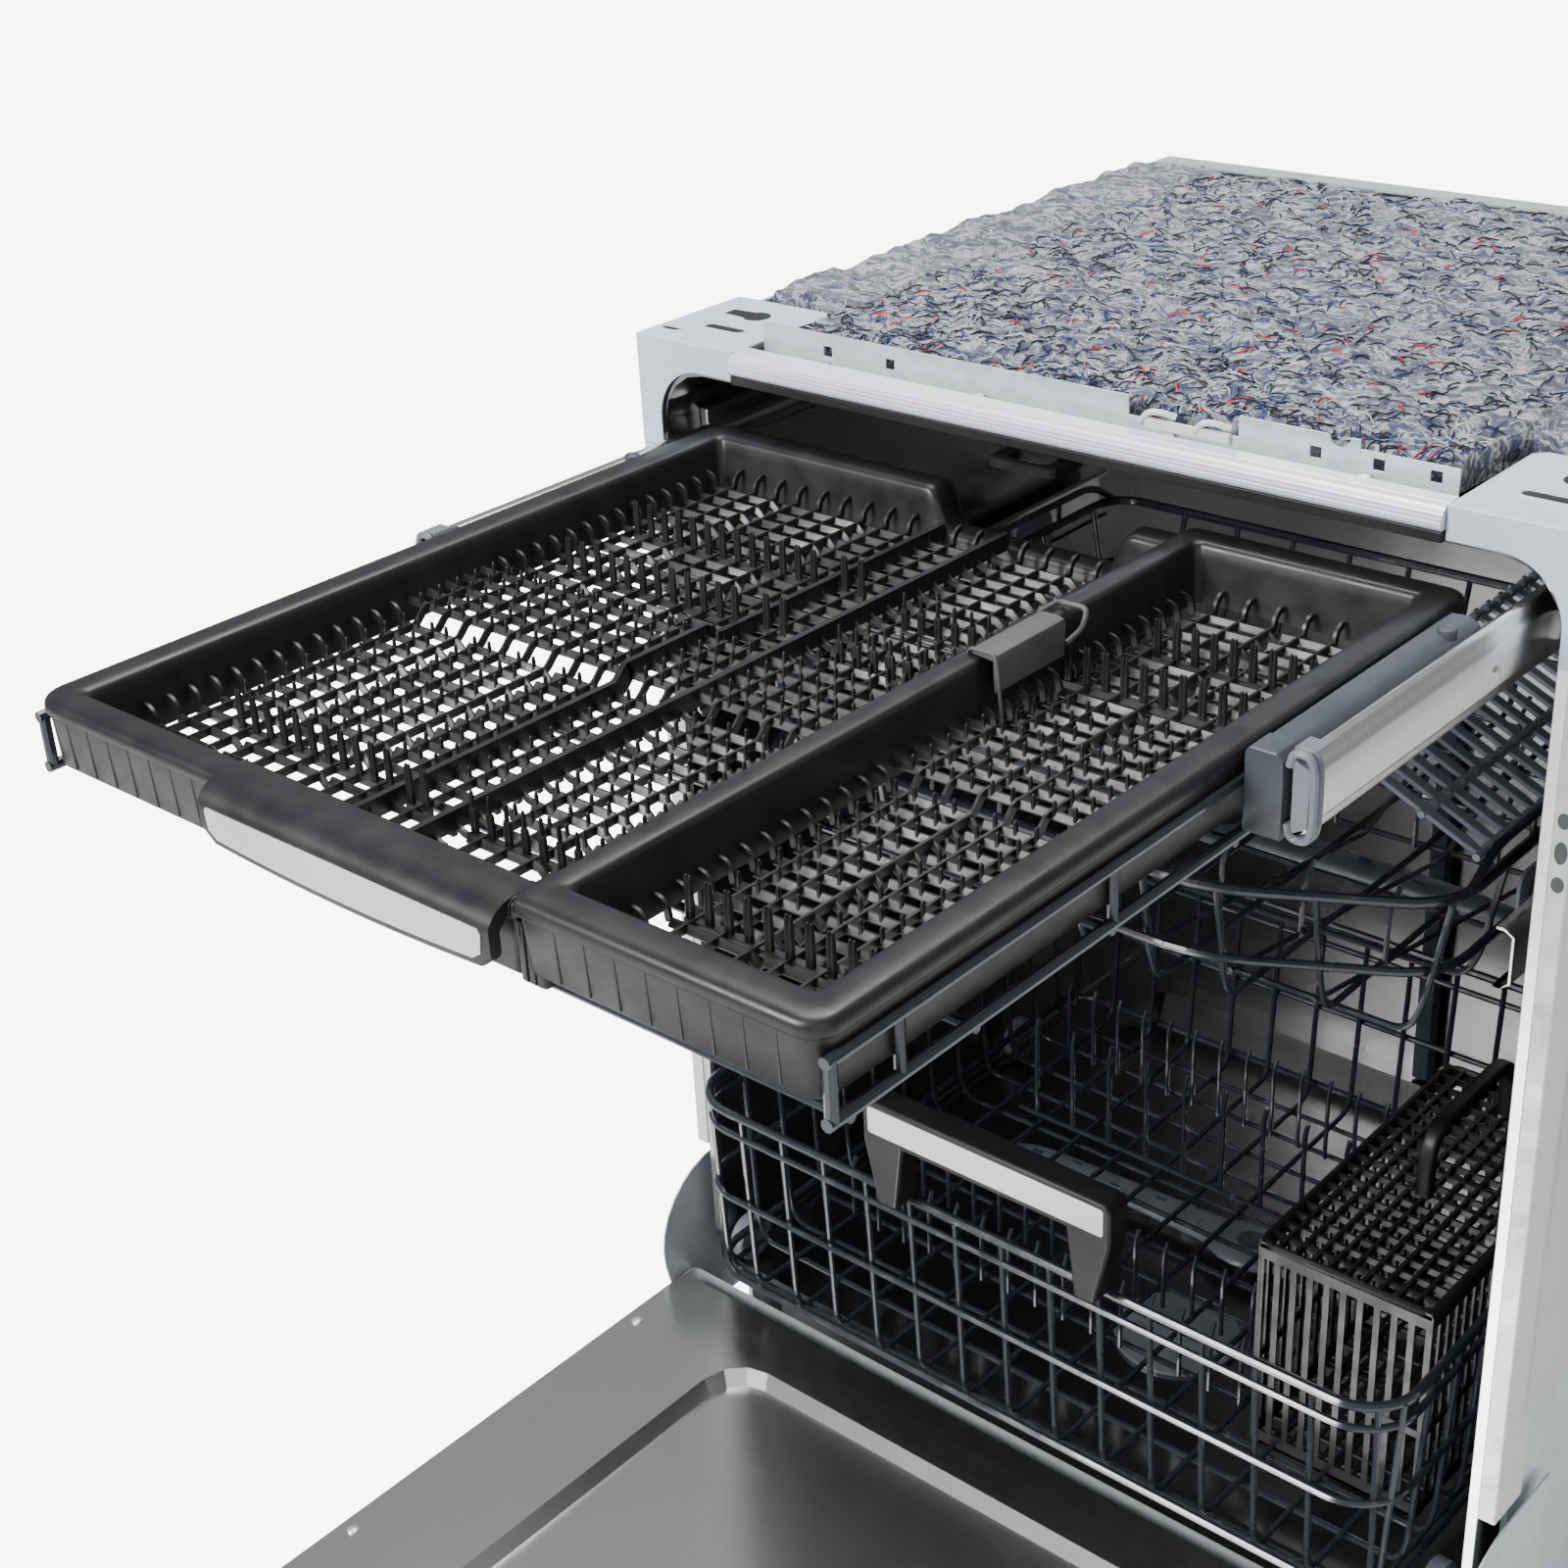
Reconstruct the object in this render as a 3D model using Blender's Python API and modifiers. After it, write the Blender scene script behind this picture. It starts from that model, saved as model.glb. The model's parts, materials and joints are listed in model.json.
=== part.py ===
"""A built-in dishwasher at rest with its door down: the top cutlery drawer is fully out, the lower rack
and the upper rack are a little out. Metres, +Z up, front towards -Y, origin on the floor under the
middle of the whole. Shapes are given in the cabinet's own frame, whose Y starts at the cabinet's front."""

import math

import bmesh
import bpy
from mathutils import Matrix, Vector

# Cabinet
CABINET_WIDTH = 0.598
CABINET_HEIGHT = 0.815
CABINET_DEPTH = 0.550
SIDE_SPACE = 0.0175  # between the tub's inner face and the cabinet's side
TOP_SPACE = 0.0195
BACK_SPACE = 0.045
FOOT_HEIGHT = 0.028
FOOT_RADIUS = 0.019
FLANGE_WIDTH = 0.007
FRAME_DEPTH = 0.030
TOE_RECESS = 0.045

# Tub
TUB_WALL = 0.0012
TUB_FLOOR = 0.144
BASIN_DEPTH = 0.026
TUB_CORNER = 0.032
LEDGE_WIDTH = 0.0475

# Door, lying open
HINGE_Y = -0.020
HINGE_Z = 0.125
DOOR_THICKNESS = 0.044
FASCIA_HEIGHT = 0.053
LINER_WALL = 0.0012
PANEL_WALL = 0.0015

# Cutlery drawer
DRAWER_DEPTH = 0.4645
RAIL_SPACE = 0.0435  # between the tub's inner face and the trays' rims
RIM_DROP = 0.044  # below the cabinet's top
TRAY_DEPTH = 0.0305
RIM_WIDTH = 0.017
TRAY_WALL = 0.0016
RIGHT_TRAY_WIDTH = 0.1535
TRAY_LIFT = 0.0047  # of the right tray's rim over the main tray's
LATTICE_BAR = 0.007
LATTICE_PITCH = 0.040
RAIL_HEIGHT = 0.038
RAIL_DEPTH = 0.010
LEFT_BRACKET_DROP = 0.017  # the left carrier and rail stay under the wide tray's rim
LEFT_RAIL_DROP = 0.022

# Racks
WIRE = 0.0050
UPPER_RACK_OUT = 0.055
UPPER_RACK_DEPTH = 0.447
UPPER_RACK_TOP_DROP = 0.215
UPPER_RACK_HEIGHT = 0.080
UPPER_SIDE_SPACE = 0.0455
LOWER_RACK_OUT = 0.075
LOWER_RACK_DEPTH = 0.440
LOWER_RACK_HEIGHT = 0.148
LOWER_SIDE_SPACE = 0.0265
WHEEL_RADIUS = 0.0165
WHEEL_GAP = 0.0035  # between the wheels and the tub's ledges
WHEEL_WIDTH = 0.011
SHELF_WIDTH = 0.110
SHELF_LENGTH = 0.345
SHELF_TILT = math.radians(25)
ARM_LENGTH = 0.408
ARM_WIDTH = 0.052

GAP = 0.0003  # between pieces that touch
CLEARANCE = 0.002  # between pieces that move past each other

# Worked out
HALF = CABINET_WIDTH / 2
TUB_HALF = HALF - SIDE_SPACE
TUB_TOP = CABINET_HEIGHT - TOP_SPACE
TUB_BACK = CABINET_DEPTH - BACK_SPACE
BASIN_FLOOR = TUB_FLOOR - BASIN_DEPTH
BASIN_HALF = TUB_HALF - LEDGE_WIDTH
FLANGE_HALF = TUB_HALF + FLANGE_WIDTH
RIM_HALF = TUB_HALF - RAIL_SPACE
RIM_Z = CABINET_HEIGHT - RIM_DROP
TRAY_FLOOR = RIM_Z - TRAY_DEPTH
RAIL_Z = RIM_Z - 0.010
RAIL_X = TUB_HALF - 0.0195
DOOR_TOP = HINGE_Z + 0.019
DOOR_BOTTOM = DOOR_TOP - DOOR_THICKNESS
DOOR_END = HINGE_Y - (CABINET_HEIGHT - HINGE_Z - 0.002)
FASCIA_Y = DOOR_END + FASCIA_HEIGHT
BUTTON_PROUD = 0.0012
BASE_TOP = BASIN_FLOOR - TUB_WALL - GAP
FRONT_Y = (BUTTON_PROUD - DOOR_END - CABINET_DEPTH) / 2
UPPER_TOP = CABINET_HEIGHT - UPPER_RACK_TOP_DROP
UPPER_FRONT = 0.018 - UPPER_RACK_OUT
UPPER_HALF = TUB_HALF - UPPER_SIDE_SPACE
LOWER_BOTTOM = TUB_FLOOR + CLEARANCE + 0.026
LOWER_TOP = LOWER_BOTTOM + LOWER_RACK_HEIGHT
LOWER_FRONT = 0.025 - LOWER_RACK_OUT
LOWER_HALF = TUB_HALF - LOWER_SIDE_SPACE
RACK_MIDDLE_Y = (LOWER_FRONT + LOWER_RACK_OUT + LOWER_FRONT + LOWER_RACK_OUT + LOWER_RACK_DEPTH) / 2

ABOUT_X = Matrix(((0, 0, 1, 0), (1, 0, 0, 0), (0, 1, 0, 0), (0, 0, 0, 1)))
ABOUT_Y = Matrix(((1, 0, 0, 0), (0, 0, -1, 0), (0, 1, 0, 0), (0, 0, 0, 1)))
ABOUT_Z = Matrix.Identity(4)
PLANES = {"X": ABOUT_X, "Y": ABOUT_Y, "Z": ABOUT_Z}

for old in list(bpy.data.objects):
    bpy.data.objects.remove(old, do_unlink=True)

PARTS = bpy.data.collections.new("built_in_dishwasher")
CUTTERS = bpy.data.collections.new("cutters")
for made in (PARTS, CUTTERS):
    bpy.context.scene.collection.children.link(made)


def finish(name, colour, roughness, metallic=0.0):
    material = bpy.data.materials.new(name)
    material.use_nodes = True
    shader = material.node_tree.nodes["Principled BSDF"]
    shader.inputs["Base Color"].default_value = (*colour, 1.0)
    shader.inputs["Roughness"].default_value = roughness
    shader.inputs["Metallic"].default_value = metallic
    return material


STEEL = finish("stainless_steel", (0.60, 0.60, 0.59), 0.25, 1.0)
SATIN = finish("satin_steel", (0.72, 0.71, 0.70), 0.35, 1.0)
ZINC = finish("galvanised_steel", (0.62, 0.66, 0.67), 0.45, 1.0)
PAINT = finish("blue_grey_paint", (0.60, 0.67, 0.74), 0.45)
TRIM = finish("silver_trim", (0.75, 0.78, 0.82), 0.35)
FELT = finish("recycled_felt", (0.28, 0.30, 0.36), 0.95)
BLACK = finish("black_plastic", (0.020, 0.021, 0.024), 0.45)
DARK = finish("dark_grey_plastic", (0.050, 0.055, 0.065), 0.45)
GREY = finish("grey_plastic", (0.20, 0.21, 0.24), 0.45)
WIRES = finish("coated_wire", (0.035, 0.040, 0.050), 0.30)
PALE = finish("pale_plastic", (0.55, 0.56, 0.56), 0.5)
NATURAL = finish("white_plastic", (0.75, 0.75, 0.73), 0.5)


def add_mesh(name, bm, material):
    mesh = bpy.data.meshes.new(name)
    bm.to_mesh(mesh)
    bm.free()
    obj = bpy.data.objects.new(name, mesh)
    PARTS.objects.link(obj)
    mesh.materials.append(material)
    return obj


def block_mesh(boxes):
    """One bmesh with a box for each pair of low and high corners."""
    bm = bmesh.new()
    for low, high in boxes:
        low, high = Vector(low), Vector(high)
        size = Matrix.Diagonal((*(high - low), 1.0))
        bmesh.ops.create_cube(bm, size=1.0, matrix=Matrix.Translation((low + high) / 2) @ size)
    return bm


def box(name, low, high, material, bevel=0.0):
    obj = add_mesh(name, block_mesh([(low, high)]), material)
    if bevel:
        soften(obj, bevel)
    return obj


def soften(obj, width, segments=2):
    bevel = obj.modifiers.new("rounded_edges", "BEVEL")
    bevel.width = width
    bevel.segments = segments
    bevel.limit_method = "ANGLE"


def arc(centre, radius, start, end, steps=5):
    """Points along an arc, angles in degrees."""
    points = []
    for step in range(steps + 1):
        angle = math.radians(start + (end - start) * step / steps)
        points.append((centre[0] + radius * math.cos(angle), centre[1] + radius * math.sin(angle)))
    return points


def rounded(x0, x1, y0, y1, radius, steps=3):
    """A rectangle with round corners, anticlockwise from its lower right corner."""
    return (
        arc((x1 - radius, y0 + radius), radius, -90, 0, steps)
        + arc((x1 - radius, y1 - radius), radius, 0, 90, steps)
        + arc((x0 + radius, y1 - radius), radius, 90, 180, steps)
        + arc((x0 + radius, y0 + radius), radius, 180, 270, steps)
    )


def plate(name, outline, across, low, high, material, holes=()):
    """A flat outline given thickness between low and high along the axis across."""
    curve = bpy.data.curves.new(name, "CURVE")
    curve.dimensions = "2D"
    curve.fill_mode = "BOTH"
    curve.extrude = (high - low) / 2
    for loop in (outline, *holes):
        spline = curve.splines.new("POLY")
        spline.points.add(len(loop) - 1)
        spline.use_cyclic_u = True
        for point, (u, v) in zip(spline.points, loop):
            point.co = (u, v, 0.0, 1.0)
    flat = bpy.data.objects.new(name + "_outline", curve)
    PARTS.objects.link(flat)
    middle = Vector((0, 0, (high + low) / 2 * (-1 if across == "Y" else 1)))
    flat.matrix_world = PLANES[across] @ Matrix.Translation(middle)
    bpy.context.view_layer.update()
    graph = bpy.context.evaluated_depsgraph_get()
    mesh = bpy.data.meshes.new_from_object(flat.evaluated_get(graph))
    mesh.transform(flat.matrix_world)
    bpy.data.objects.remove(flat, do_unlink=True)
    bm = bmesh.new()
    bm.from_mesh(mesh)
    bmesh.ops.remove_doubles(bm, verts=bm.verts, dist=0.00001)
    bmesh.ops.dissolve_limit(bm, angle_limit=0.001, verts=bm.verts, edges=bm.edges)
    return add_mesh(name, bm, material)


def shell(name, rings, thickness, material, facing="Z"):
    """A vessel: rings of points from its mouth to its closed end, bridged, capped and given a wall
    on the outside. Each ring is a list of points and its place along the axis facing."""
    bm = bmesh.new()
    made = []
    for points, place in rings:
        ring = [(u, place, v) if facing == "Y" else (u, v, place) for u, v in points]
        made.append([bm.verts.new(point) for point in ring])
    count = len(made[0])
    for upper, lower in zip(made, made[1:]):
        for i in range(count):
            j = (i + 1) % count
            bm.faces.new((lower[j], lower[i], upper[i], upper[j]))
    bm.faces.new(made[-1])
    obj = add_mesh(name, bm, material)
    wall = obj.modifiers.new("wall", "SOLIDIFY")
    wall.thickness = thickness
    wall.offset = -1
    wall.use_even_offset = True
    return obj


def turned(name, profile, centre, material, steps=24):
    """A solid of revolution about Z. The profile runs down its outer side, from axis to axis."""
    bm = bmesh.new()
    points = [bm.verts.new((radius, 0, z)) for radius, z in profile]
    for a, b in zip(points, points[1:]):
        bm.edges.new((a, b))
    obj = add_mesh(name, bm, material)
    obj.location = centre
    screw = obj.modifiers.new("turn", "SCREW")
    screw.steps = steps
    screw.render_steps = steps
    screw.use_merge_vertices = True
    screw.merge_threshold = 0.00001
    return obj


def tube(name, points, radius, material, closed=False, sides=2):
    curve = bpy.data.curves.new(name, "CURVE")
    curve.dimensions = "3D"
    curve.bevel_depth = radius
    curve.bevel_resolution = sides
    curve.use_fill_caps = not closed
    spline = curve.splines.new("POLY")
    spline.points.add(len(points) - 1)
    spline.use_cyclic_u = closed
    for point, place in zip(spline.points, points):
        point.co = (*place, 1.0)
    obj = bpy.data.objects.new(name, curve)
    PARTS.objects.link(obj)
    curve.materials.append(material)
    return obj


def wire_frame(name, panels, material):
    """Wires along the edges of gridded panels: each is a corner, two sides and their cell counts."""
    bm = bmesh.new()
    for corner, along, up, columns, rows in panels:
        corner, along, up = Vector(corner), Vector(along), Vector(up)
        grid = []
        for row in range(rows + 1):
            start = corner + up * row / rows
            grid.append([bm.verts.new(start + along * column / columns) for column in range(columns + 1)])
        for low, high in zip(grid, grid[1:]):
            for i in range(columns):
                bm.faces.new((low[i], low[i + 1], high[i + 1], high[i]))
    bmesh.ops.remove_doubles(bm, verts=bm.verts, dist=0.00001)
    bmesh.ops.recalc_face_normals(bm, faces=bm.faces)
    obj = add_mesh(name, bm, material)
    wires = obj.modifiers.new("wires", "WIREFRAME")
    wires.thickness = WIRE
    wires.use_boundary = True
    wires.use_even_offset = False
    wires.offset = 0.0
    return obj


def helper(obj):
    """Turns a made object into a cutter or an operand, which isn't a part itself."""
    PARTS.objects.unlink(obj)
    CUTTERS.objects.link(obj)
    obj.hide_render = True
    obj.display_type = "WIRE"
    return obj


def combine(obj, other, operation):
    boolean = obj.modifiers.new(operation.lower(), "BOOLEAN")
    boolean.operation = operation
    boolean.solver = "EXACT"
    boolean.object = helper(other)
    return obj


def cut(obj, other):
    return combine(obj, other, "DIFFERENCE")


def join(obj, other):
    return combine(obj, other, "UNION")


def group(name, pivot=(0, 0, 0), parent=None):
    """An empty on a joint's axis, which the pieces of one body hang on."""
    empty = bpy.data.objects.new(name, None)
    PARTS.objects.link(empty)
    empty.parent = parent[0] if parent else None
    empty.location = Vector(pivot) - (parent[1] if parent else Vector())
    return empty, Vector(pivot)


def put(body, *objs):
    """Hangs pieces made in the cabinet's frame on a body's empty, with their origins on its axis."""
    empty, pivot = body
    for obj in objs:
        if obj.type == "MESH" and obj.location == Vector():
            obj.data.transform(Matrix.Translation(-pivot))
        elif obj.type == "CURVE":
            obj.data.transform(Matrix.Translation(-pivot))
        else:
            obj.location -= pivot
        for modifier in obj.modifiers:
            if modifier.type == "BOOLEAN":
                put(body, modifier.object)
        obj.parent = empty


def both_sides(make):
    """Calls make for the left side and the right side."""
    for side, sign in (("left", -1), ("right", 1)):
        make(side, sign)


def span(sign, inner, outer):
    """X of a piece between two distances from the middle, low first."""
    return (inner, outer) if sign > 0 else (-outer, -inner)


# ---------------------------------------------------------------- cabinet


def tub_ring(half, top, floor, basin, radius):
    """The tub's section, anticlockwise, with four points on its floor for the sunken basin."""
    steps = 4
    slope = 0.006
    foot = 0.003
    return (
        arc((half - foot, floor + foot), foot, -90, 0, steps)
        + arc((half - radius, top - radius), radius, 0, 90, steps)
        + arc((-half + radius, top - radius), radius, 90, 180, steps)
        + arc((-half + foot, floor + foot), foot, 180, 270, steps)
        + [(-BASIN_HALF, floor), (-BASIN_HALF + slope, basin), (BASIN_HALF - slope, basin), (BASIN_HALF, floor)]
    )


def make_tub():
    lip = FLANGE_WIDTH - 0.002
    sections = (
        (lip, TUB_FLOOR, 0.0015),
        (0.0, TUB_FLOOR, 0.0017),
        (0.0, TUB_FLOOR, 0.030),
        (0.0, BASIN_FLOOR, 0.037),
        (0.0, BASIN_FLOOR, TUB_BACK - 0.030),
        (0.0, TUB_FLOOR, TUB_BACK - 0.020),
        (0.0, TUB_FLOOR, TUB_BACK),
    )
    rings = []
    for grow, basin, y in sections:
        floor = TUB_FLOOR - grow
        basin = min(basin, floor)
        rings.append((tub_ring(TUB_HALF + grow, TUB_TOP + grow, floor, basin, TUB_CORNER + grow), y))
    tub = shell("tub", rings, TUB_WALL, STEEL, "Y")
    for name, (x, y), radius in (("filter_hole", FILTER_AT, 0.037), ("arm_hole", ARM_AT, 0.018)):
        hole = turned(name, [(0, 0.05), (radius, 0.05), (radius, -0.05), (0, -0.05)], (x, y, BASIN_FLOOR), STEEL)
        cut(tub, hole)
    put(CABINET, tub)


def corner_bracket(side, sign):
    """A painted corner piece: a front face with the opening's round corner, folded to a top and a side."""
    wall = 0.0015
    depth = 0.090
    inner = TUB_HALF + 0.0013
    reach = 0.0765
    low = CABINET_HEIGHT - 0.067
    top = TUB_TOP + 0.0011
    corner = arc((inner - TUB_CORNER, top - TUB_CORNER), TUB_CORNER, 90, 0, 6)
    outline = [(HALF, low), (HALF, CABINET_HEIGHT), (HALF - reach, CABINET_HEIGHT), (HALF - reach, top)]
    outline += corner + [(inner, low)]
    bm = bmesh.new()
    front = [bm.verts.new((sign * x, -wall, z)) for x, z in outline]
    bm.faces.new(front)
    back = [bm.verts.new((sign * x, depth, z)) for x, z in outline[:3]]
    for i in range(2):
        bm.faces.new((front[i + 1], front[i], back[i], back[i + 1]))
    bmesh.ops.recalc_face_normals(bm, faces=bm.faces)
    bm.faces.ensure_lookup_table()
    if bm.faces[0].normal.y > 0:
        bmesh.ops.reverse_faces(bm, faces=bm.faces)
    bracket = add_mesh(f"corner_bracket_{side}", bm, PAINT)
    fold = bracket.modifiers.new("wall", "SOLIDIFY")
    fold.thickness = wall
    fold.offset = -1
    fold.use_even_offset = True
    x0, x1 = span(sign, HALF - reach + 0.022, HALF - reach + 0.052)
    cut(bracket, box(f"bracket_slot_{side}", (x0, 0.028, CABINET_HEIGHT - 0.01), (x1, 0.036, CABINET_HEIGHT + 0.01), PAINT))
    put(CABINET, bracket)


def side_frame(side, sign):
    """The upright beside the opening, a folded galvanised strip."""
    wall = 0.0015
    inner = FLANGE_HALF + GAP
    outer = HALF
    outline = [(inner, -wall), (outer, -wall), (outer, FRAME_DEPTH), (outer - wall, FRAME_DEPTH)]
    outline += [(outer - wall, 0.0), (inner + wall, 0.0), (inner + wall, 0.008), (inner, 0.008)]
    outline = [(sign * x, y) for x, y in outline]
    low = HINGE_Z + 0.1135
    high = CABINET_HEIGHT - 0.067 - GAP
    put(CABINET, plate(f"side_frame_{side}", outline, "Z", low, high, ZINC))


def side_panel(side, sign):
    x0, x1 = span(sign, FLANGE_HALF, FLANGE_HALF + 0.0035)
    panel = box(f"side_panel_{side}", (x0, FRAME_DEPTH + 0.002, FOOT_HEIGHT + 0.004),
                (x1, CABINET_DEPTH - 0.022, CABINET_HEIGHT - 0.004), ZINC)
    put(CABINET, panel)


def hinge_bracket(side, sign):
    """The hinge's side plate, with the round front edge that shows beside the door."""
    centre = (0.016, HINGE_Z + 0.039)
    radius = 0.060
    outline = [(0.070, HINGE_Z - 0.030), (0.070, centre[1] + radius)]
    outline += arc(centre, radius, 90, 190, 8) + [(HINGE_Y - 0.010, HINGE_Z - 0.030)]
    low, high = span(sign, HALF - 0.0014, HALF - 0.0002)
    put(CABINET, plate(f"hinge_bracket_{side}", outline, "X", low, high, ZINC))


def trim_bead():
    """The rounded silver strip over the opening."""
    half = HALF - 0.0765 - GAP
    low = TUB_TOP + FLANGE_WIDTH
    outline = [(0.010, low), (0.010, CABINET_HEIGHT + 0.0005)]
    outline += [(0.002, CABINET_HEIGHT), (-0.003, CABINET_HEIGHT - 0.0025), (-0.006, CABINET_HEIGHT - 0.007)]
    outline += [(-0.006, low + 0.002), (-0.004, low)]
    put(CABINET, plate("top_trim_bead", outline, "X", -half, half, TRIM))


def cross_rail():
    """The galvanised rail behind the bead: an upstand with notches and square holes, folded to a foot."""
    half = HALF - 0.082
    low = CABINET_HEIGHT - 0.012
    step = CABINET_HEIGHT + 0.006
    top = CABINET_HEIGHT + 0.014
    wall = 0.0012
    upright, front = 0.0207, 0.0110
    outline = [(-half, low), (half, low), (half, top - 0.004), (half * 0.62, top - 0.004), (half * 0.62, top)]
    outline += arc((half * 0.46, top), 0.006, 0, -180, 4)
    outline += [(half * 0.30, top), (half * 0.26, step), (half * 0.06, step), (half * 0.06, top)]
    outline += [(-half * 0.68, top), (-half * 0.70, step), (-half * 0.80, step), (-half * 0.80, top), (-half, top)]
    bm = bmesh.new()
    upstand = [bm.verts.new((x, upright, z)) for x, z in outline]
    bm.faces.new(upstand)
    fold = [bm.verts.new((x, front, low)) for x in (-half, half)]
    bm.faces.new((upstand[1], upstand[0], fold[0], fold[1]))
    rail = add_mesh("top_cross_rail", bm, ZINC)
    thick = rail.modifiers.new("wall", "SOLIDIFY")
    thick.thickness = wall
    thick.offset = -1
    thick.use_even_offset = True
    holes = []
    for share in (-0.86, -0.62, 0.38, 0.56, 0.80):
        x, z = half * share, CABINET_HEIGHT - 0.001
        holes.append(((x, 0.010, z), (x + 0.007, 0.030, z + 0.006)))
    cut(rail, add_mesh("cross_rail_holes", block_mesh(holes), ZINC))
    put(CABINET, rail)


def insulation_mat():
    half = HALF - 0.024
    low = TUB_TOP + TUB_WALL + GAP
    outline = [(-half * 0.75, 0.034), (-half * 0.35, 0.030), (half * 0.25, 0.034), (half * 0.70, 0.031)]
    outline += [(half * 0.75, 0.095), (half, 0.098), (half, TUB_BACK - 0.01), (-half, TUB_BACK - 0.01)]
    outline += [(-half, 0.098), (-half * 0.79, 0.095)]
    mat = plate("insulation_mat", outline, "Z", low + 0.008, low + 0.026, FELT)
    put(CABINET, mat)


def rear_panel():
    half = FLANGE_HALF + 0.0035
    low, high = FOOT_HEIGHT + 0.004, CABINET_HEIGHT - 0.004
    mouth, floor = CABINET_DEPTH - 0.020, CABINET_DEPTH - PANEL_WALL
    rings = [(rounded(-half, half, low, high, 0.006), mouth), (rounded(-half, half, low, high, 0.006), floor)]
    put(CABINET, shell("rear_panel", rings, PANEL_WALL, ZINC, "Y"))


def base_tray():
    """The moulded base that carries the tub, the sump and the pumps."""
    wall = 0.003
    half = FLANGE_HALF - wall - CLEARANCE / 2
    front, back = TOE_RECESS, CABINET_DEPTH - 0.026
    low = FOOT_HEIGHT + 0.0035
    rings = []
    for inset, z in ((0.0, BASE_TOP), (0.004, low)):
        rings.append((rounded(-half + inset, half - inset, front + inset, back - inset, 0.012), z))
    put(CABINET, shell("base_tray", rings, wall, BLACK))


def feet():
    base = FOOT_HEIGHT
    profile = [(0, base), (0.010, base), (0.010, 0.010), (FOOT_RADIUS, 0.006), (FOOT_RADIUS, 0.0), (0, 0.0)]
    for depth, y in (("front", TOE_RECESS + 0.040), ("rear", CABINET_DEPTH - 0.070)):
        for side, sign in (("left", -1), ("right", 1)):
            put(CABINET, turned(f"foot_{depth}_{side}", profile, (sign * (HALF - 0.055), y, 0), GREY))


def sump():
    """The well under the tub's floor, with the filter's seat and the lower spray arm's post."""
    x, y = FILTER_AT
    low = FOOT_HEIGHT + 0.012
    bowl = turned("sump", [(0, BASE_TOP), (0.105, BASE_TOP), (0.100, 0.085), (0.062, low), (0, low)],
                  (x, (y + ARM_AT[1]) / 2, 0), BLACK)
    well = turned("sump_well", [(0, 0.2), (0.0365, 0.2), (0.0365, low + 0.006), (0, low + 0.006)], (x, y, 0), BLACK)
    post_top = BASIN_FLOOR + 0.011
    post = turned("sump_post", [(0, post_top), (0.014, post_top), (0.015, BASE_TOP - 0.01), (0, BASE_TOP - 0.01)],
                  (*ARM_AT, 0), BLACK)
    put(CABINET, cut(join(bowl, post), well))


def pump(name, radius, length, at, material):
    """A motor can with its narrower nose, lying along X."""
    profile = [(0, length), (radius * 0.9, length), (radius, length - 0.006), (radius, length * 0.35)]
    profile += [(radius * 0.7, length * 0.30), (radius * 0.7, 0.0), (0, 0.0)]
    made = turned(name, profile, at, material)
    made.rotation_euler = (0, math.pi / 2, 0)
    put(CABINET, made)


def feed_pipe():
    """The pipe that brings water up the tub's back to the upper spray arm."""
    y = TUB_BACK - 0.0105
    z0, z1 = TUB_FLOOR + 0.004, UPPER_TOP - 0.105
    points = [(0, y, z0 + (z1 - z0) * step / 6) for step in range(7)]
    put(CABINET, tube("feed_pipe", points, 0.0085, DARK))


def latch_striker():
    """The loop that the door's lock catches."""
    z = TUB_TOP - 0.009
    outline = rounded(-0.036, 0.008, -0.010, 0.022, 0.006)
    hole = rounded(-0.027, -0.001, -0.004, 0.010, 0.003)
    striker = plate("latch_striker", outline, "Z", z, z + 0.0045, BLACK, [hole])
    root = box("striker_root", (-0.030, 0.012, z + 0.001), (0.002, 0.021, TUB_TOP - GAP), BLACK)
    put(CABINET, join(striker, root))


def fixed_rail(side, sign):
    x0, x1 = span(sign, RAIL_X + RAIL_DEPTH + 0.003, TUB_HALF - GAP)
    z = RAIL_Z - RAIL_HEIGHT / 2
    low, high = (x0, 0.030, z + 0.004), (x1, 0.030 + 0.450, TUB_TOP - TUB_CORNER - GAP)
    put(CABINET, box(f"drawer_rail_fixed_{side}", low, high, STEEL, 0.001))


# ---------------------------------------------------------------- door


def door_liner():
    """The stainless inner door, with its sunken middle."""
    half = HALF - 0.0055
    back, front = HINGE_Y - 0.010, FASCIA_Y + PANEL_WALL + GAP
    track = half - 0.089
    rings = [
        (rounded(-half, half, front, back, 0.004), DOOR_BOTTOM + 0.022),
        (rounded(-half, half, front, back, 0.004), DOOR_TOP - 0.0025),
        (rounded(-half + 0.002, half - 0.002, front + 0.002, back - 0.002, 0.004), DOOR_TOP),
        (rounded(-track, track, front + 0.050, back - 0.045, 0.030), DOOR_TOP),
        (rounded(-track + 0.006, track - 0.006, front + 0.056, back - 0.051, 0.026), DOOR_TOP - 0.010),
    ]
    put(DOOR, shell("door_liner", rings, LINER_WALL, STEEL))


def door_panel():
    """The outer door: a shallow pan that the cabinet maker's front is screwed to."""
    half = HALF - 0.0035
    back, front = HINGE_Y + 0.002, FASCIA_Y + PANEL_WALL
    rings = [
        (rounded(-half, half, front, back, 0.004), DOOR_TOP - 0.006),
        (rounded(-half, half, front, back, 0.004), DOOR_BOTTOM + PANEL_WALL),
    ]
    put(DOOR, shell("door_panel", rings, PANEL_WALL, ZINC))


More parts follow.
